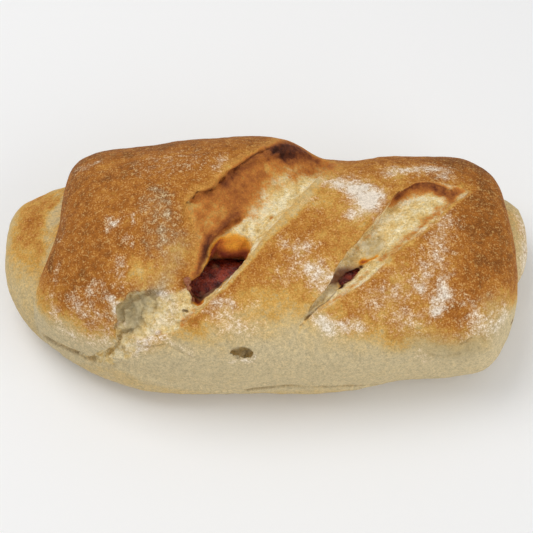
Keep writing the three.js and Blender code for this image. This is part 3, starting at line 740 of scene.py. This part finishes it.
def make_loaf_mesh(look):
    """The loaf's fine mesh: the solid remeshed, smoothed on to its skin, and given the relief of a baked loaf."""
    piece = copy_of("bread", "loaf")
    tree = surface_of(piece)
    modify(piece, "REMESH", mode="VOXEL", voxel_size=look.voxel * 1)
    modify(piece, "SMOOTH", factor=0.5, iterations=3)
    smooth_on_to_skin(piece)
    settle_ends(piece)
    points = read_points(piece)
    smooth = hill(reach_of(points, tree, STEP_BY_SKIN), 3.2)
    smooth = np.maximum(smooth, hill(reach_of(points, tree, PIT_BY_MOUND), 2.2))
    name = weigh(piece, "skin", np.minimum(1, 1.6 * smooth))
    modify(piece, "SMOOTH", vertex_group=name, factor=0.5, iterations=look.skin_smoothing)
    piece.vertex_groups.clear()
    ragged_edges(piece)

    points = read_points(piece)
    crumb = crumb_share(points)
    tear = between(crust_places(points), FLAP, TEAR_RIGHT, 1.0)[0] * crumb
    crease = np.zeros(len(points))
    deepest = max(depth for _, _, depth in CREASES.values())
    for pixels, width, depth in CREASES.values():
        crease = np.maximum(crease, depth / deepest * hill(reach_of(points, tree, pixels), width))
    pocket = hill(reach_of(points, tree, AIR_POCKET[0]), AIR_POCKET[1]) * AIR_POCKET[2] / deepest
    crease = np.maximum(crease, pocket)
    ridge = np.zeros(len(points))
    for pixels, width, height in RIDGES.values():
        ridge = np.maximum(ridge, height * hill(reach_of(points, tree, pixels), width))
    groups = {"crumb": crumb, "tear": tear, "crust": 1 - crumb, "crease": crease, "ridge": ridge}
    names = {name: weigh(piece, name, weights) for name, weights in groups.items()}

    for name, group, size, height in (
        ("crust's unevenness", "crust", 7.0, look.crust_relief),
        ("crust's pimples", "crust", 2.2, look.crust_relief * 0.4),
        ("crumb's lumps", "crumb", 3.0, look.crumb_relief),
        ("crumb's grain", "crumb", 1.1, look.crumb_relief * 0.45),
        ("tear's crags", "tear", 4.5, look.tear_relief),
        ("tear's grain", "tear", 1.5, look.tear_relief * 0.35),
    ):
        texture = bpy.data.textures.new(name, "CLOUDS")
        texture.noise_scale = size * MM
        texture.noise_depth = 1
        settings = {"texture": texture, "texture_coords": "LOCAL", "vertex_group": names[group]}
        modify(piece, "DISPLACE", strength=height, mid_level=0.5, **settings)
    modify(piece, "DISPLACE", vertex_group=names["ridge"], strength=MM, mid_level=0)
    modify(piece, "DISPLACE", vertex_group=names["crease"], strength=-deepest * MM, mid_level=0)
    piece.vertex_groups.clear()

    stand_on_floor(piece)
    thin(piece, tree, look)
    stand_on_floor(piece)
    drop_loose_bits(piece)
    return piece


def stand_on_floor(piece):
    """Lifts what the relief pushed below the floor back on to it."""
    points = read_points(piece)
    points[:, 2] = np.maximum(points[:, 2], 0)
    write_points(piece, points)


def drop_loose_bits(piece):
    """Deletes the few faces that the remeshing left loose, apart from the skin."""
    farthest = int(np.argmax(read_points(piece)[:, 0]))
    only(piece)
    bpy.ops.object.mode_set(mode="EDIT")
    bpy.ops.mesh.select_mode(type="VERT")
    bpy.ops.mesh.select_all(action="DESELECT")
    bpy.ops.object.mode_set(mode="OBJECT")
    piece.data.vertices[farthest].select = True
    bpy.ops.object.mode_set(mode="EDIT")
    bpy.ops.mesh.select_linked()
    bpy.ops.mesh.select_all(action="INVERT")
    bpy.ops.mesh.delete(type="VERT")
    bpy.ops.object.mode_set(mode="OBJECT")


def thin(piece, tree, look):
    """Fewer faces where the loaf is smooth or hidden, down to the count that a piece may have."""
    points = read_points(piece)
    places = crust_places(points)
    degrees, _, depth, _ = places
    # the tunnel's walls, the base and the back can do with few faces, and the openings need many
    hidden = np.maximum(ramp(3, 6, depth) * (1 - ramp(12, 20, depth)), 1 - ramp(0.2, 1.2, points[:, 2]))
    hidden = np.maximum(hidden, 1 - ramp(-10, 25, degrees))
    open_places = np.maximum(between(places, EAR_1, LIP_1, 3)[0], between(places, EAR_2, LIP_2, 3)[0])
    open_places = np.maximum(open_places, between(places, FLAP, TEAR_RIGHT, 4)[0]) * (1 - ramp(12, 16, depth))
    lines = np.zeros(len(points))
    for pixels, *_ in [*CREASES.values(), *CHAR_AND_SHADOW.values()]:
        lines = np.maximum(lines, hill(reach_of(points, tree, pixels), 1.4))
    weights = np.clip(0.4 + 0.6 * hidden - 0.4 * open_places, 0.0, 1) * (1 - lines)
    name = weigh(piece, "thin", weights)
    count = sum(len(face.vertices) - 2 for face in piece.data.polygons)
    modify(piece, "DECIMATE", ratio=look.triangles / count, vertex_group=name, vertex_group_factor=1.0)
    piece.vertex_groups.clear()


# --- What the oven did, with painted shade, shadow and highlight, as attributes ---------------------------------------


def store(piece, name, values):
    """Keeps values from 0 to 1 in the piece's mesh as an attribute."""
    attribute = piece.data.attributes.new(name, "FLOAT", "POINT")
    attribute.data.foreach_set("value", np.clip(values, 0, 1).astype(np.float32))


def bake_loaf(piece):
    """Writes how each place of the loaf baked, and where shade, shadow and a highlight are painted, into its mesh."""
    points = read_points(piece)
    degrees, x, depth, _ = crust_places(points)
    height = points[:, 2]

    tree = surface_of(piece)  # the finished mesh, so that each mark lands where it shows

    # the crust is brown above, and pale where it faced the oven's floor or its neighbour
    front = along(FRONT_PALES, x)
    edge = 3.5 * lumps(points, 9, 1) + 2.5 * lumps(points, 3.5, 2)  # the borders wander by so many degrees
    bake = along(CROWN_BROWNS, x) * ramp(4, 30, degrees + edge) * (1 - ramp(front - 24, front + 12, degrees + edge))
    # the inner roll's ends lay lower and stayed paler
    roll = (1 - ramp(-1.6, -0.7, depth)) * ramp(-2.0, -1.0, roll_places(points)[0])
    roll_bake = 0.1 + 0.25 * ramp(22, 38, height)
    bake = bake * (1 - roll) + roll_bake * roll
    bake = bake + painted(points, tree, BROWNING, 2.5)
    # the pale bands along the lips: their widths, how brown they are, and how fully they show
    for lip, widths, brown, full in ((LIP_1, BAND_1, 0.2, 0.9), (LIP_2, BAND_2, 0.34, 0.7)):
        beyond = (x - along(lip, degrees) + 0.5 * lumps(points, 3, 16)) / along(widths, degrees)
        band = full * ramp(-0.4, 0, beyond) * (1 - ramp(0.6, 1.25, beyond))
        band *= ramp(lip[0][0] - 3, lip[0][0] + 4, degrees)
        band *= (1 - ramp(lip[-1][0] - 4, lip[-1][0] + 3, degrees)) * ramp(-1, -0.2, depth)
        bake = bake * (1 - band) + brown * band
    # the back keeps a little colour towards its foot, and the base is lightly toasted
    bottom = 1 - ramp(0.3, 2.5, height)
    bake = bake + 0.16 * ramp(14, 30, height) * (1 - ramp(30, 60, degrees)) * (1 - roll)
    bake = bake * (1 - bottom) + (0.42 + 0.1 * lumps(points, 11, 6)) * bottom

    crumb = crumb_share(points)
    # the slope under ear 1 is toasted, most of all by the ear and by the hollow's edge
    uneven = 2.6 * lumps(points, 4.0, 8) + 1.0 * lumps(points, 1.5, 9)
    slope = ramp(-14, 8, within(points, SLOPE) + uneven) * (depth < 8) * ramp(24, 34, degrees) * ramp(-1, -0.2, depth)
    marks = painted(points, tree, TOASTED, 0.7)
    # right of the hollow's edge, the swollen crumb isn't toasted
    slope *= 1 - 0.85 * ramp(0.6, 1.8, x - along(edge_of(tree, HOLLOW_EDGE), degrees)) * ramp(84, 88, degrees)
    toasted = (0.42 + 0.13 * lumps(points, 6, 14) + 0.1 * lumps(points, 2.8, 15)) * slope
    toasted += marks * np.maximum(slope, ramp(-0.02, 0.28, crumb))
    # flour lies thinly all over the crown and on the base, less on the crumb, and not where it is toasted
    flour = painted(points, tree, FLOUR, 1.8) + 0.04 * ramp(20, 60, degrees)
    flour = flour * (1 - 0.5 * crumb) * (1 - np.clip(2.5 * toasted, 0, 1)) + 0.3 * bottom
    crumb = crumb * (1 - 0.9 * slope)
    bake = bake * (1 - slope) + 0.45 * slope
    store(piece, "bake", bake)
    store(piece, "crumb", crumb)
    store(piece, "toast", toasted)
    store(piece, "flour", flour)
    store(piece, "stain", painted(points, tree, STAINED, 0.4) * np.maximum(crumb, 0.3) * (1 - 0.7 * slope))
    # greyish dust, and painted shade in the tear, in slash 2, in the hole and along the lower front
    store(piece, "dust_and_shade", painted(points, tree, DUST_AND_SHADE, 1.2))
    # edges that caught, and painted shadow in cracks, creases, gaps and the hole
    store(piece, "char_and_shadow", painted(points, tree, CHAR_AND_SHADOW, 0.2))
    # the openings' depths, below these rows of the photograph, darkened as painted shade over the fat stain: above them
    # the hollow's back wall is plain crumb
    across, down = pixels_of(points).T
    rows = down - np.where(across > 300, 22, 0)
    store(piece, "deep", ramp(4.2, 6.5, depth) * ramp(1, 3, height) * ramp(240, 250, rows) * (np.abs(x) < 45))


# --- Materials --------------------------------------------------------------------------------------------------------


def add_node(tree, kind, inputs=(), stops=(), output=0, **settings):
    """Adds a node with its settings, its inputs' values or links and a ramp's stops, and gives one of its outputs."""
    made = tree.nodes.new(kind)
    for name, value in settings.items():
        setattr(made, name, value)
    for key, value in dict(inputs).items():
        if isinstance(value, bpy.types.NodeSocket):
            tree.links.new(value, made.inputs[key])
        else:
            made.inputs[key].default_value = value
    if stops:
        elements = made.color_ramp.elements
        while len(elements) < len(stops):
            elements.new(0.5)
        for element, (position, colour) in zip(elements, stops):
            element.position = position
            element.color = colour
    return made.outputs[output] if made.outputs else None


def new_material(name):
    """A material with an empty node tree."""
    material = bpy.data.materials.new(name)
    material.use_nodes = True
    material.node_tree.nodes.clear()
    return material


def unevenly(tree, attribute, grains):
    """An attribute's value, and the same raised and lowered by so much of each noise."""
    value = add_node(tree, "ShaderNodeAttribute", output="Fac", attribute_name=attribute, attribute_type="GEOMETRY")
    half = sum(amount for _, amount in grains) / 2
    uneven = add_node(tree, "ShaderNodeMath", {0: value, 1: half}, operation="SUBTRACT")
    for noise, amount in grains:
        uneven = add_node(tree, "ShaderNodeMath", {0: noise, 1: amount, 2: uneven}, operation="MULTIPLY_ADD")
    return value, uneven


def laid_over(tree, below, attribute, grains, start, end, cover, stops):
    """Lays a finish over the colour below: from start to end of the uneven attribute, never beyond its own edge."""
    value, uneven = unevenly(tree, attribute, grains)
    smooth = {"interpolation_type": "SMOOTHSTEP"}
    share = add_node(tree, "ShaderNodeMapRange", {0: uneven, 1: start, 2: end, 4: cover}, **smooth)
    edge = add_node(tree, "ShaderNodeMapRange", {0: value, 1: 0.01, 2: 0.12}, **smooth)
    share = add_node(tree, "ShaderNodeMath", {0: share, 1: edge}, operation="MULTIPLY")
    above = add_node(tree, "ShaderNodeValToRGB", {"Fac": uneven}, stops=stops)
    return add_node(tree, "ShaderNodeMix", {0: share, 6: below, 7: above}, output=2, data_type="RGBA")


def crust_and_crumb(look):
    """Baked wheat dough, proved in a floured cloth. To the eye it is dry and matt: a brown crust, pale where it faced
    away from the heat, with flour still lying on it in grains, and an open crumb that the sausage's fat has stained.
    Its colour also holds painted shade and shadow in cracks, creases, hollows and the openings' depths."""
    material = new_material("Baked wheat dough, floured")
    tree = material.node_tree
    place = add_node(tree, "ShaderNodeTexCoord", output="Object")
    # noises, with the size of their grains in mm
    grains = ((9, 3, 0.5), (4.5, 3, 0.65), (2.6, 3, 0.6), (1.3, 2, 0.7), (0.8, 2, 0.6), (0.5, 1.5, 0.6))
    broad, patchy, mottle, flake, fine, dust = (
        add_node(
            tree,
            "ShaderNodeTexNoise",
            {"Vector": place, "Scale": 1 / (size * MM), "Detail": detail, "Roughness": rough},
        )
        for size, detail, rough in grains
    )

    # browning, uneven at three scales, and less so on the pale dough
    value, uneven = unevenly(tree, "bake", [(broad, 0.5), (mottle, 0.7), (fine, 0.45)])
    lively = add_node(tree, "ShaderNodeMapRange", {0: value, 1: 0.05, 2: 0.4, 3: 0.17, 4: 1.0})
    bake = add_node(tree, "ShaderNodeMix", {0: lively, 2: value, 3: uneven})
    colour = add_node(
        tree,
        "ShaderNodeValToRGB",
        {"Fac": bake},
        stops=[
            (0.0, look.dough), (0.17, look.straw), (0.35, look.golden), (0.54, look.amber), (0.71, look.brown),
            (0.92, look.dark_brown),
        ],
    )
    # a dusting too thin to be white lightens the crust in flecks
    specks = add_node(tree, "ShaderNodeMath", {0: dust, 1: flake}, operation="ADD")
    cover = add_node(tree, "ShaderNodeMath", {0: lively, 1: look.dusting}, operation="MULTIPLY")
    inputs = {0: specks, 1: 1.0, 2: 1.24, 4: cover}
    flecks = add_node(tree, "ShaderNodeMapRange", inputs, interpolation_type="SMOOTHSTEP")
    colour = add_node(tree, "ShaderNodeMix", {0: flecks, 6: colour, 7: look.fleck}, output=2, data_type="RGBA")

    # the open crumb: cream, with yellower and whiter places
    torn = add_node(tree, "ShaderNodeAttribute", output="Fac", attribute_name="crumb", attribute_type="GEOMETRY")
    crumb_tone = add_node(tree, "ShaderNodeMath", {0: fine, 1: 0.45, 2: patchy}, operation="MULTIPLY_ADD")
    crumb = add_node(
        tree,
        "ShaderNodeValToRGB",
        {"Fac": crumb_tone},
        stops=[(0.52, look.crumb_dark), (0.69, look.crumb), (0.86, look.crumb_light)],
    )
    colour = add_node(tree, "ShaderNodeMix", {0: torn, 6: colour, 7: crumb}, output=2, data_type="RGBA")

    # greyish dust and painted shade; toast, from gold through orange-brown to nearly black, with one painted shadow;
    # fat, orange and dark red where it is thickest; flour, with one painted highlight
    for attribute, grains, start, end, cover, stops in (
        ("dust_and_shade", [(mottle, 0.6), (dust, 0.6)], 0.0, 1.0, 1.0, [(0.0, look.dust_and_shade), (1.0, look.dust_and_shade_grey)]),
        (
            "toast", [(mottle, 0.5), (flake, 0.3)], 0.07, 0.42, 1.0,
            [
                (0.05, look.toast_gold), (0.26, look.toast_amber), (0.46, look.toast), (0.66, look.toast_brown),
                (0.84, look.toast_dark_and_shadow), (1.0, look.burnt_and_shadow),
            ],
        ),
        (
            "stain", [(mottle, 0.45)], 0.05, 0.45, 1.0,
            [(0.2, look.fat_light), (0.5, look.fat), (0.78, look.fat_deep_and_shade), (1.0, look.fat_dark_and_shade)],
        ),
        (
            "flour", [(dust, 0.8), (flake, 0.45), (mottle, 0.8)], 0.04, 0.85, look.flour_cover,
            [(0.2, look.flour_thin), (0.75, look.flour)],
        ),
    ):
        colour = laid_over(tree, colour, attribute, grains, start, end, cover, stops)

    # dust and pores make every face a little lighter and darker from grain to grain
    tone = add_node(tree, "ShaderNodeMapRange", {0: specks, 1: 0.6, 2: 1.4, 3: 0.66, 4: 1.34})
    inputs = {0: 1.0, 6: colour, 7: tone}
    colour = add_node(tree, "ShaderNodeMix", inputs, output=2, data_type="RGBA", blend_type="MULTIPLY")

    # edges that caught, with painted shadow in cracks, creases, gaps and the hole; and the depths of the openings,
    # where the fat ran, with painted shade there too
    stops = [(0.2, look.toast_dark_and_shadow), (0.8, look.burnt_and_shadow)]
    colour = laid_over(tree, colour, "char_and_shadow", [(fine, 0.4)], 0.1, 0.9, 1.0, stops)
    # painted shade: the deeper a place lies in an opening, the darker red-brown it is painted
    stops = [(0.0, look.fat_deep_and_shade), (0.7, look.fat_dark_and_shade)]
    colour = laid_over(tree, colour, "deep", [(mottle, 0.3)], 0.0, 1.0, 0.85, stops)

    height = add_node(tree, "ShaderNodeMath", {0: mottle, 1: 0.6, 2: flake}, operation="MULTIPLY_ADD")
    height = add_node(tree, "ShaderNodeMath", {0: fine, 1: 0.5, 2: height}, operation="MULTIPLY_ADD")
    normal = add_node(tree, "ShaderNodeBump", {"Height": height, "Strength": 0.7, "Distance": 0.5 * MM})
    shader = add_node(
        tree,
        "ShaderNodeBsdfPrincipled",
        {"Base Color": colour, "Roughness": 0.78, "IOR": 1.45, "Specular IOR Level": 0.22, "Normal": normal},
    )
    add_node(tree, "ShaderNodeOutputMaterial", {"Surface": shader})
    return material


def cured_sausage(look, name, stops):
    """Cooked chorizo: paprika-red minced meat and fat. To the eye it is dark and uneven, with spots of glinting oil,
    and small pale dots that are painted glints.
    """
    material = new_material(name)
    tree = material.node_tree
    place = add_node(tree, "ShaderNodeTexCoord", output="Object")
    meat, fine = (
        add_node(
            tree,
            "ShaderNodeTexNoise",
            {"Vector": place, "Scale": 1 / (size * MM), "Detail": 4.0, "Roughness": 0.65},
        )
        for size in (2.6, 0.9)  # mm
    )
    colour = add_node(tree, "ShaderNodeValToRGB", {"Fac": meat}, stops=stops)
    # large pieces of fat, and small pale dots in the fat's colour that are painted glints: how far apart they lie in
    # mm, their size as a share of that, how pale they are
    for apart, size, pale in ((5.5, 0.28, 0.3), (1.9, 0.17, 0.4)):
        cells = add_node(tree, "ShaderNodeTexVoronoi", {"Vector": place, "Scale": 1 / (apart * MM)})
        inputs = {0: cells, 1: size, 2: size / 2, 4: pale}
        share = add_node(tree, "ShaderNodeMapRange", inputs, interpolation_type="SMOOTHSTEP")
        colour = add_node(tree, "ShaderNodeMix", {0: share, 6: colour, 7: look.fat}, output=2, data_type="RGBA")
    normal = add_node(tree, "ShaderNodeBump", {"Height": fine, "Strength": 0.9, "Distance": 0.6 * MM})
    oily = add_node(tree, "ShaderNodeMapRange", {0: fine, 1: 0.42, 2: 0.6, 3: 0.5, 4: 0.15})
    shader = add_node(
        tree,
        "ShaderNodeBsdfPrincipled",
        {"Base Color": colour, "Roughness": oily, "IOR": 1.47, "Specular IOR Level": 0.5, "Normal": normal},
    )
    add_node(tree, "ShaderNodeOutputMaterial", {"Surface": shader})
    return material


def studio_paper(look):
    """White paper, uncoated. To the eye it is plain and matt, so it shows the loaf's soft shadow and no reflection.
    Its waviness is drawn much coarser than the grain of paper, which would be too fine to see from here."""
    material = new_material("Matt white paper")
    tree = material.node_tree
    place = add_node(tree, "ShaderNodeTexCoord", output="Object")
    grain = add_node(tree, "ShaderNodeTexNoise", {"Vector": place, "Scale": 1 / (27 * MM)})
    normal = add_node(tree, "ShaderNodeBump", {"Height": grain, "Strength": 0.02})
    inputs = {"Base Color": look.floor, "Roughness": 0.9, "Normal": normal}
    shader = add_node(tree, "ShaderNodeBsdfPrincipled", inputs)
    add_node(tree, "ShaderNodeOutputMaterial", {"Surface": shader})
    return material


# --- The pieces' settings, operators and panel ------------------------------------------------------------------------


def tint(name, description, code):
    """A setting for a colour, by default an sRGB hex colour."""
    return FloatVectorProperty(name=name, description=description, default=linear(code), size=4, subtype="COLOR")


def length(name, description, size):
    """A setting for a length, by default so many mm."""
    return FloatProperty(name=name, description=description, default=size * MM, unit="LENGTH", precision=5)


class LoafLook(bpy.types.PropertyGroup):
    """Sizes and colours of the loaf."""

    voxel: length("Voxel", "Size of the fine mesh's cells", 0.42)
    triangles: IntProperty(name="Triangles", description="Most triangles in the loaf", default=190000)
    crust_relief: length("Crust relief", "Height of the crust's unevenness", 0.5)
    skin_smoothing: IntProperty(
        name="Skin smoothing", description="How often the step beside the pale skin is smoothed", default=60
    )
    crumb_relief: length("Crumb relief", "Height of the open crumb's lumps", 1.2)
    tear_relief: length("Tear relief", "Height of the torn crumb's crags", 3.0)
    flour_cover: FloatProperty(
        name="Flour cover", description="How well the thickest flour hides the crust", default=0.9, subtype="FACTOR"
    )
    dusting: FloatProperty(
        name="Dusting", description="How far a thin dusting lightens the crust", default=0.42, subtype="FACTOR"
    )
    dough: tint("Pale dough", "Crust that has hardly browned", "#cbb991")
    straw: tint("Straw", "Crust that has begun to colour", "#cdb179")
    golden: tint("Golden", "Lightly browned crust", "#cb9b4a")
    amber: tint("Amber", "Browned crust", "#b87a30")
    brown: tint("Brown", "Well browned crust", "#a3611f")
    dark_brown: tint("Dark brown", "The darkest crust", "#804a17")
    fleck: tint("Fleck", "Crust under a dusting too thin to be white", "#cba663")
    # these greyish tints are dusty crumb and skin, and also painted shade in the tear, in slash 2, in the hole and on
    # the lower front
    dust_and_shade: tint("Dusk", "Greyish, dusty crumb and skin", "#b8a57a")
    dust_and_shade_grey: tint("Grey dusk", "The greyest of it", "#a89a78")
    toast_gold: tint("Toast, gold", "Crumb that has just turned", "#d2ab5e")
    toast_amber: tint("Toast, amber", "Lightly toasted crumb", "#c68c42")
    toast: tint("Toast", "Toasted crumb", "#b57030")
    toast_brown: tint("Toast, brown", "Well toasted crumb", "#8c4f24")
    # the darkest toast tint and the burnt tint also colour the painted shadow in cracks, creases, gaps and the hole
    toast_dark_and_shadow: tint("Toast, dark", "Crumb that is about to catch", "#602f17")
    burnt_and_shadow: tint("Burnt", "Edges that caught", "#3b1b0e")
    crumb: tint("Crumb", "Open crumb", "#dfc488")
    crumb_light: tint("Light crumb", "The whitest crumb", "#efe0b8")
    crumb_dark: tint("Dark crumb", "Crumb in its hollows", "#d0aa64")
    flour: tint("Flour", "Flour on the crust", "#ece1d0")
    flour_thin: tint("Thin flour", "Flour that lets the crust through", "#d9be94")
    fat_light: tint("Fat stain, light", "Crumb tinged by paprika fat", "#dcae5c")
    fat: tint("Fat stain", "Crumb soaked with paprika fat", "#dd932c")
    # the two deepest stain tints also colour the painted shade in the openings' depths
    fat_deep_and_shade: tint("Fat stain, deep", "Crumb fried in the fat", "#b3601e")
    fat_dark_and_shade: tint("Fat stain, dark", "Where the stain is thickest", "#6b2614")


class ChorizoLook(bpy.types.PropertyGroup):
    """Sizes and colours of the chorizo."""

    lumps: length("Lumps", "Height of the meat's lumps under the skin", 0.9)
    meat: tint("Meat", "Minced meat under the skin", "#6e2013")
    meat_dark: tint("Dark meat", "The darkest meat", "#43130c")
    meat_red: tint("Red meat", "Meat with much paprika", "#a23a1c")
    # this colour also paints the small pale dots that stand in for glints
    fat: tint("Fat", "Pieces of fat", "#b6835f")
    scrap: tint("Scrap", "The scrap beside the opening", "#9a5838")
    scrap_dark: tint("Dark scrap", "Its meat", "#6c382c")
    scrap_pale: tint("Pale scrap", "Its fat", "#b07d54")


class StageLook(bpy.types.PropertyGroup):
    """The floor and the lights."""

    floor: tint("Floor", "The plain floor", "#f4f4f4")
    world: FloatProperty(name="World", description="Strength of the soft light from all round", default=0.54)
    key: FloatProperty(name="Key light", description="Power of the large light above", default=2.7, unit="POWER")
    fill: FloatProperty(name="Fill light", description="Power of the light from the front", default=3.2, unit="POWER")


class BREAD_OT_loaf(bpy.types.Operator):
    """Make the loaf's fine mesh, with its crust, crumb, flour and stains"""

    bl_idname = "bread.loaf"
    bl_label = "Loaf"

    def execute(self, context):
        look = context.scene.loaf_look
        piece = make_loaf_mesh(look)
        bake_loaf(piece)
        only(piece)
        bpy.ops.object.shade_smooth()
        piece.data.materials.append(crust_and_crumb(look))
        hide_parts("bread")
        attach(piece, "root")
        return {"FINISHED"}


class BREAD_OT_chorizo(bpy.types.Operator):
    """Make the chorizo that shows in the openings"""

    bl_idname = "bread.chorizo"
    bl_label = "Chorizo"

    def execute(self, context):
        look = context.scene.chorizo_look
        piece = copy_of("chorizo", "chorizo_link")
        modify(piece, "SUBSURF", levels=3, render_levels=3)
        texture = bpy.data.textures.new("meat's lumps", "CLOUDS")
        texture.noise_scale = 3.5 * MM
        modify(piece, "DISPLACE", texture=texture, texture_coords="LOCAL", strength=look.lumps, mid_level=0.7)
        creases = bpy.data.textures.new("meat's creases", "CLOUDS")
        creases.noise_scale = 1.3 * MM
        modify(piece, "DISPLACE", texture=creases, texture_coords="LOCAL", strength=look.lumps * 0.5, mid_level=0.6)
        only(piece)
        bpy.ops.object.shade_smooth()
        stops = [(0.32, look.meat_dark), (0.45, look.meat), (0.6, look.meat_red)]
        piece.data.materials.append(cured_sausage(look, "Chorizo, baked and oily", stops))
        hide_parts("chorizo")
        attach(piece, "root")
        return {"FINISHED"}


class BREAD_OT_scrap(bpy.types.Operator):
    """Make the scrap of meat and fat that was drawn out beside the opening"""

    bl_idname = "bread.scrap"
    bl_label = "Scrap of meat"

    def execute(self, context):
        look = context.scene.chorizo_look
        tree = surface_of(bpy.data.objects["loaf"])
        stops = [Vector((on_surface(tree, pixel) + SHIFT) * MM) for pixel in SCRAP]
        for i, (place, size) in enumerate(zip(stops, SCRAP_SIZES)):
            bpy.ops.object.select_all(action="DESELECT")
            bpy.ops.mesh.primitive_ico_sphere_add(subdivisions=4, radius=1, location=place)
            way = stops[min(i + 1, len(stops) - 1)] - stops[max(i - 1, 0)]
            context.object.rotation_euler = way.to_track_quat("X", "Z").to_euler()
            context.object.scale = [length * MM for length in size]
            bpy.ops.object.transform_apply(location=True, rotation=True, scale=True)
            context.object.name = f"scrap_{i}"
        pieces = [bpy.data.objects[f"scrap_{i}"] for i in range(len(stops))]
        only(pieces[0])
        for piece in pieces:
            piece.select_set(True)
        bpy.ops.object.join()
        piece = context.object
        piece.name = piece.data.name = "meat_scrap"
        modify(piece, "REMESH", mode="VOXEL", voxel_size=0.2 * MM)
        modify(piece, "SMOOTH", factor=0.5, iterations=4)
        texture = bpy.data.textures.new("scrap's lumps", "CLOUDS")
        texture.noise_scale = 1.1 * MM
        modify(piece, "DISPLACE", texture=texture, texture_coords="LOCAL", strength=look.lumps, mid_level=0.6)
        only(piece)
        bpy.ops.object.shade_smooth()
        stops = [(0.35, look.scrap_dark), (0.5, look.scrap), (0.65, look.scrap_pale)]
        piece.data.materials.append(cured_sausage(look, "Chorizo fat and meat, dried", stops))
        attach(piece, "root")
        return {"FINISHED"}


class BREAD_OT_stage(bpy.types.Operator):
    """Set up the floor, the soft light and the photograph's camera"""

    bl_idname = "bread.stage"
    bl_label = "Stage"

    def execute(self, context):
        look = context.scene.stage_look
        bpy.ops.object.select_all(action="DESELECT")
        bpy.ops.mesh.primitive_plane_add(size=24, location=(0, 0, 0))
        floor = context.object
        floor.name = floor.data.name = "floor"
        floor.data.materials.append(studio_paper(look))

        world = bpy.data.worlds.new("Soft white room")
        world.use_nodes = True
        world.node_tree.nodes["Background"].inputs["Color"].default_value = (1, 1, 1, 1)
        world.node_tree.nodes["Background"].inputs["Strength"].default_value = look.world
        context.scene.world = world
        for name, place, size, power in (
            ("key light", (-0.3, 0.12, 0.74), 0.5, look.key),
            ("fill light", (0.7, -0.55, 0.45), 0.9, look.fill),
        ):
            way = Vector((0, 0, 0.03)) - Vector(place)
            bpy.ops.object.light_add(type="AREA", location=place, rotation=way.to_track_quat("-Z", "Y").to_euler())
            light = context.object
            light.name = light.data.name = name
            light.data.size = size
            light.data.energy = power

        place, back, right, up = camera_axes()
        bpy.ops.object.camera_add(location=place, rotation=back.to_track_quat("Z", "Y").to_euler())
        camera = context.object
        camera.name = camera.data.name = "photograph's camera"
        camera.data.lens = CAMERA_LENS
        camera.data.sensor_width = CAMERA_SENSOR
        camera.data.clip_start, camera.data.clip_end = 0.01, 40
        context.scene.camera = camera
        context.scene.view_settings.view_transform = "Standard"
        return {"FINISHED"}


class BREAD_PT_sidebar(bpy.types.Panel):
    """Lists the loaf's pieces and their settings"""

    bl_idname = "BREAD_PT_sidebar"
    bl_label = "Chorizo-filled bread"
    bl_space_type = "VIEW_3D"
    bl_region_type = "UI"
    bl_category = "Bread"

    def draw(self, context):
        for operator, look in (
            (BREAD_OT_loaf, context.scene.loaf_look),
            (BREAD_OT_chorizo, context.scene.chorizo_look),
            (BREAD_OT_scrap, context.scene.chorizo_look),
            (BREAD_OT_stage, context.scene.stage_look),
        ):
            box = self.layout.box()
            box.operator(operator.bl_idname)
            for name in look.bl_rna.properties.keys():
                if name not in ("rna_type", "name"):
                    box.prop(look, name)


CLASSES = (
    LoafLook, ChorizoLook, StageLook, BREAD_OT_loaf, BREAD_OT_chorizo, BREAD_OT_scrap, BREAD_OT_stage, BREAD_PT_sidebar,
)


def register():
    for item in CLASSES:
        bpy.utils.register_class(item)
    bpy.types.Scene.loaf_look = PointerProperty(type=LoafLook)
    bpy.types.Scene.chorizo_look = PointerProperty(type=ChorizoLook)
    bpy.types.Scene.stage_look = PointerProperty(type=StageLook)


def unregister():
    for name in ("loaf_look", "chorizo_look", "stage_look"):
        delattr(bpy.types.Scene, name)
    for item in reversed(CLASSES):
        bpy.utils.unregister_class(item)


def main():
    register()
    bpy.ops.bread.loaf()
    bpy.ops.bread.chorizo()
    bpy.ops.bread.scrap()
    bpy.ops.bread.stage()


if __name__ == "__main__":
    main()
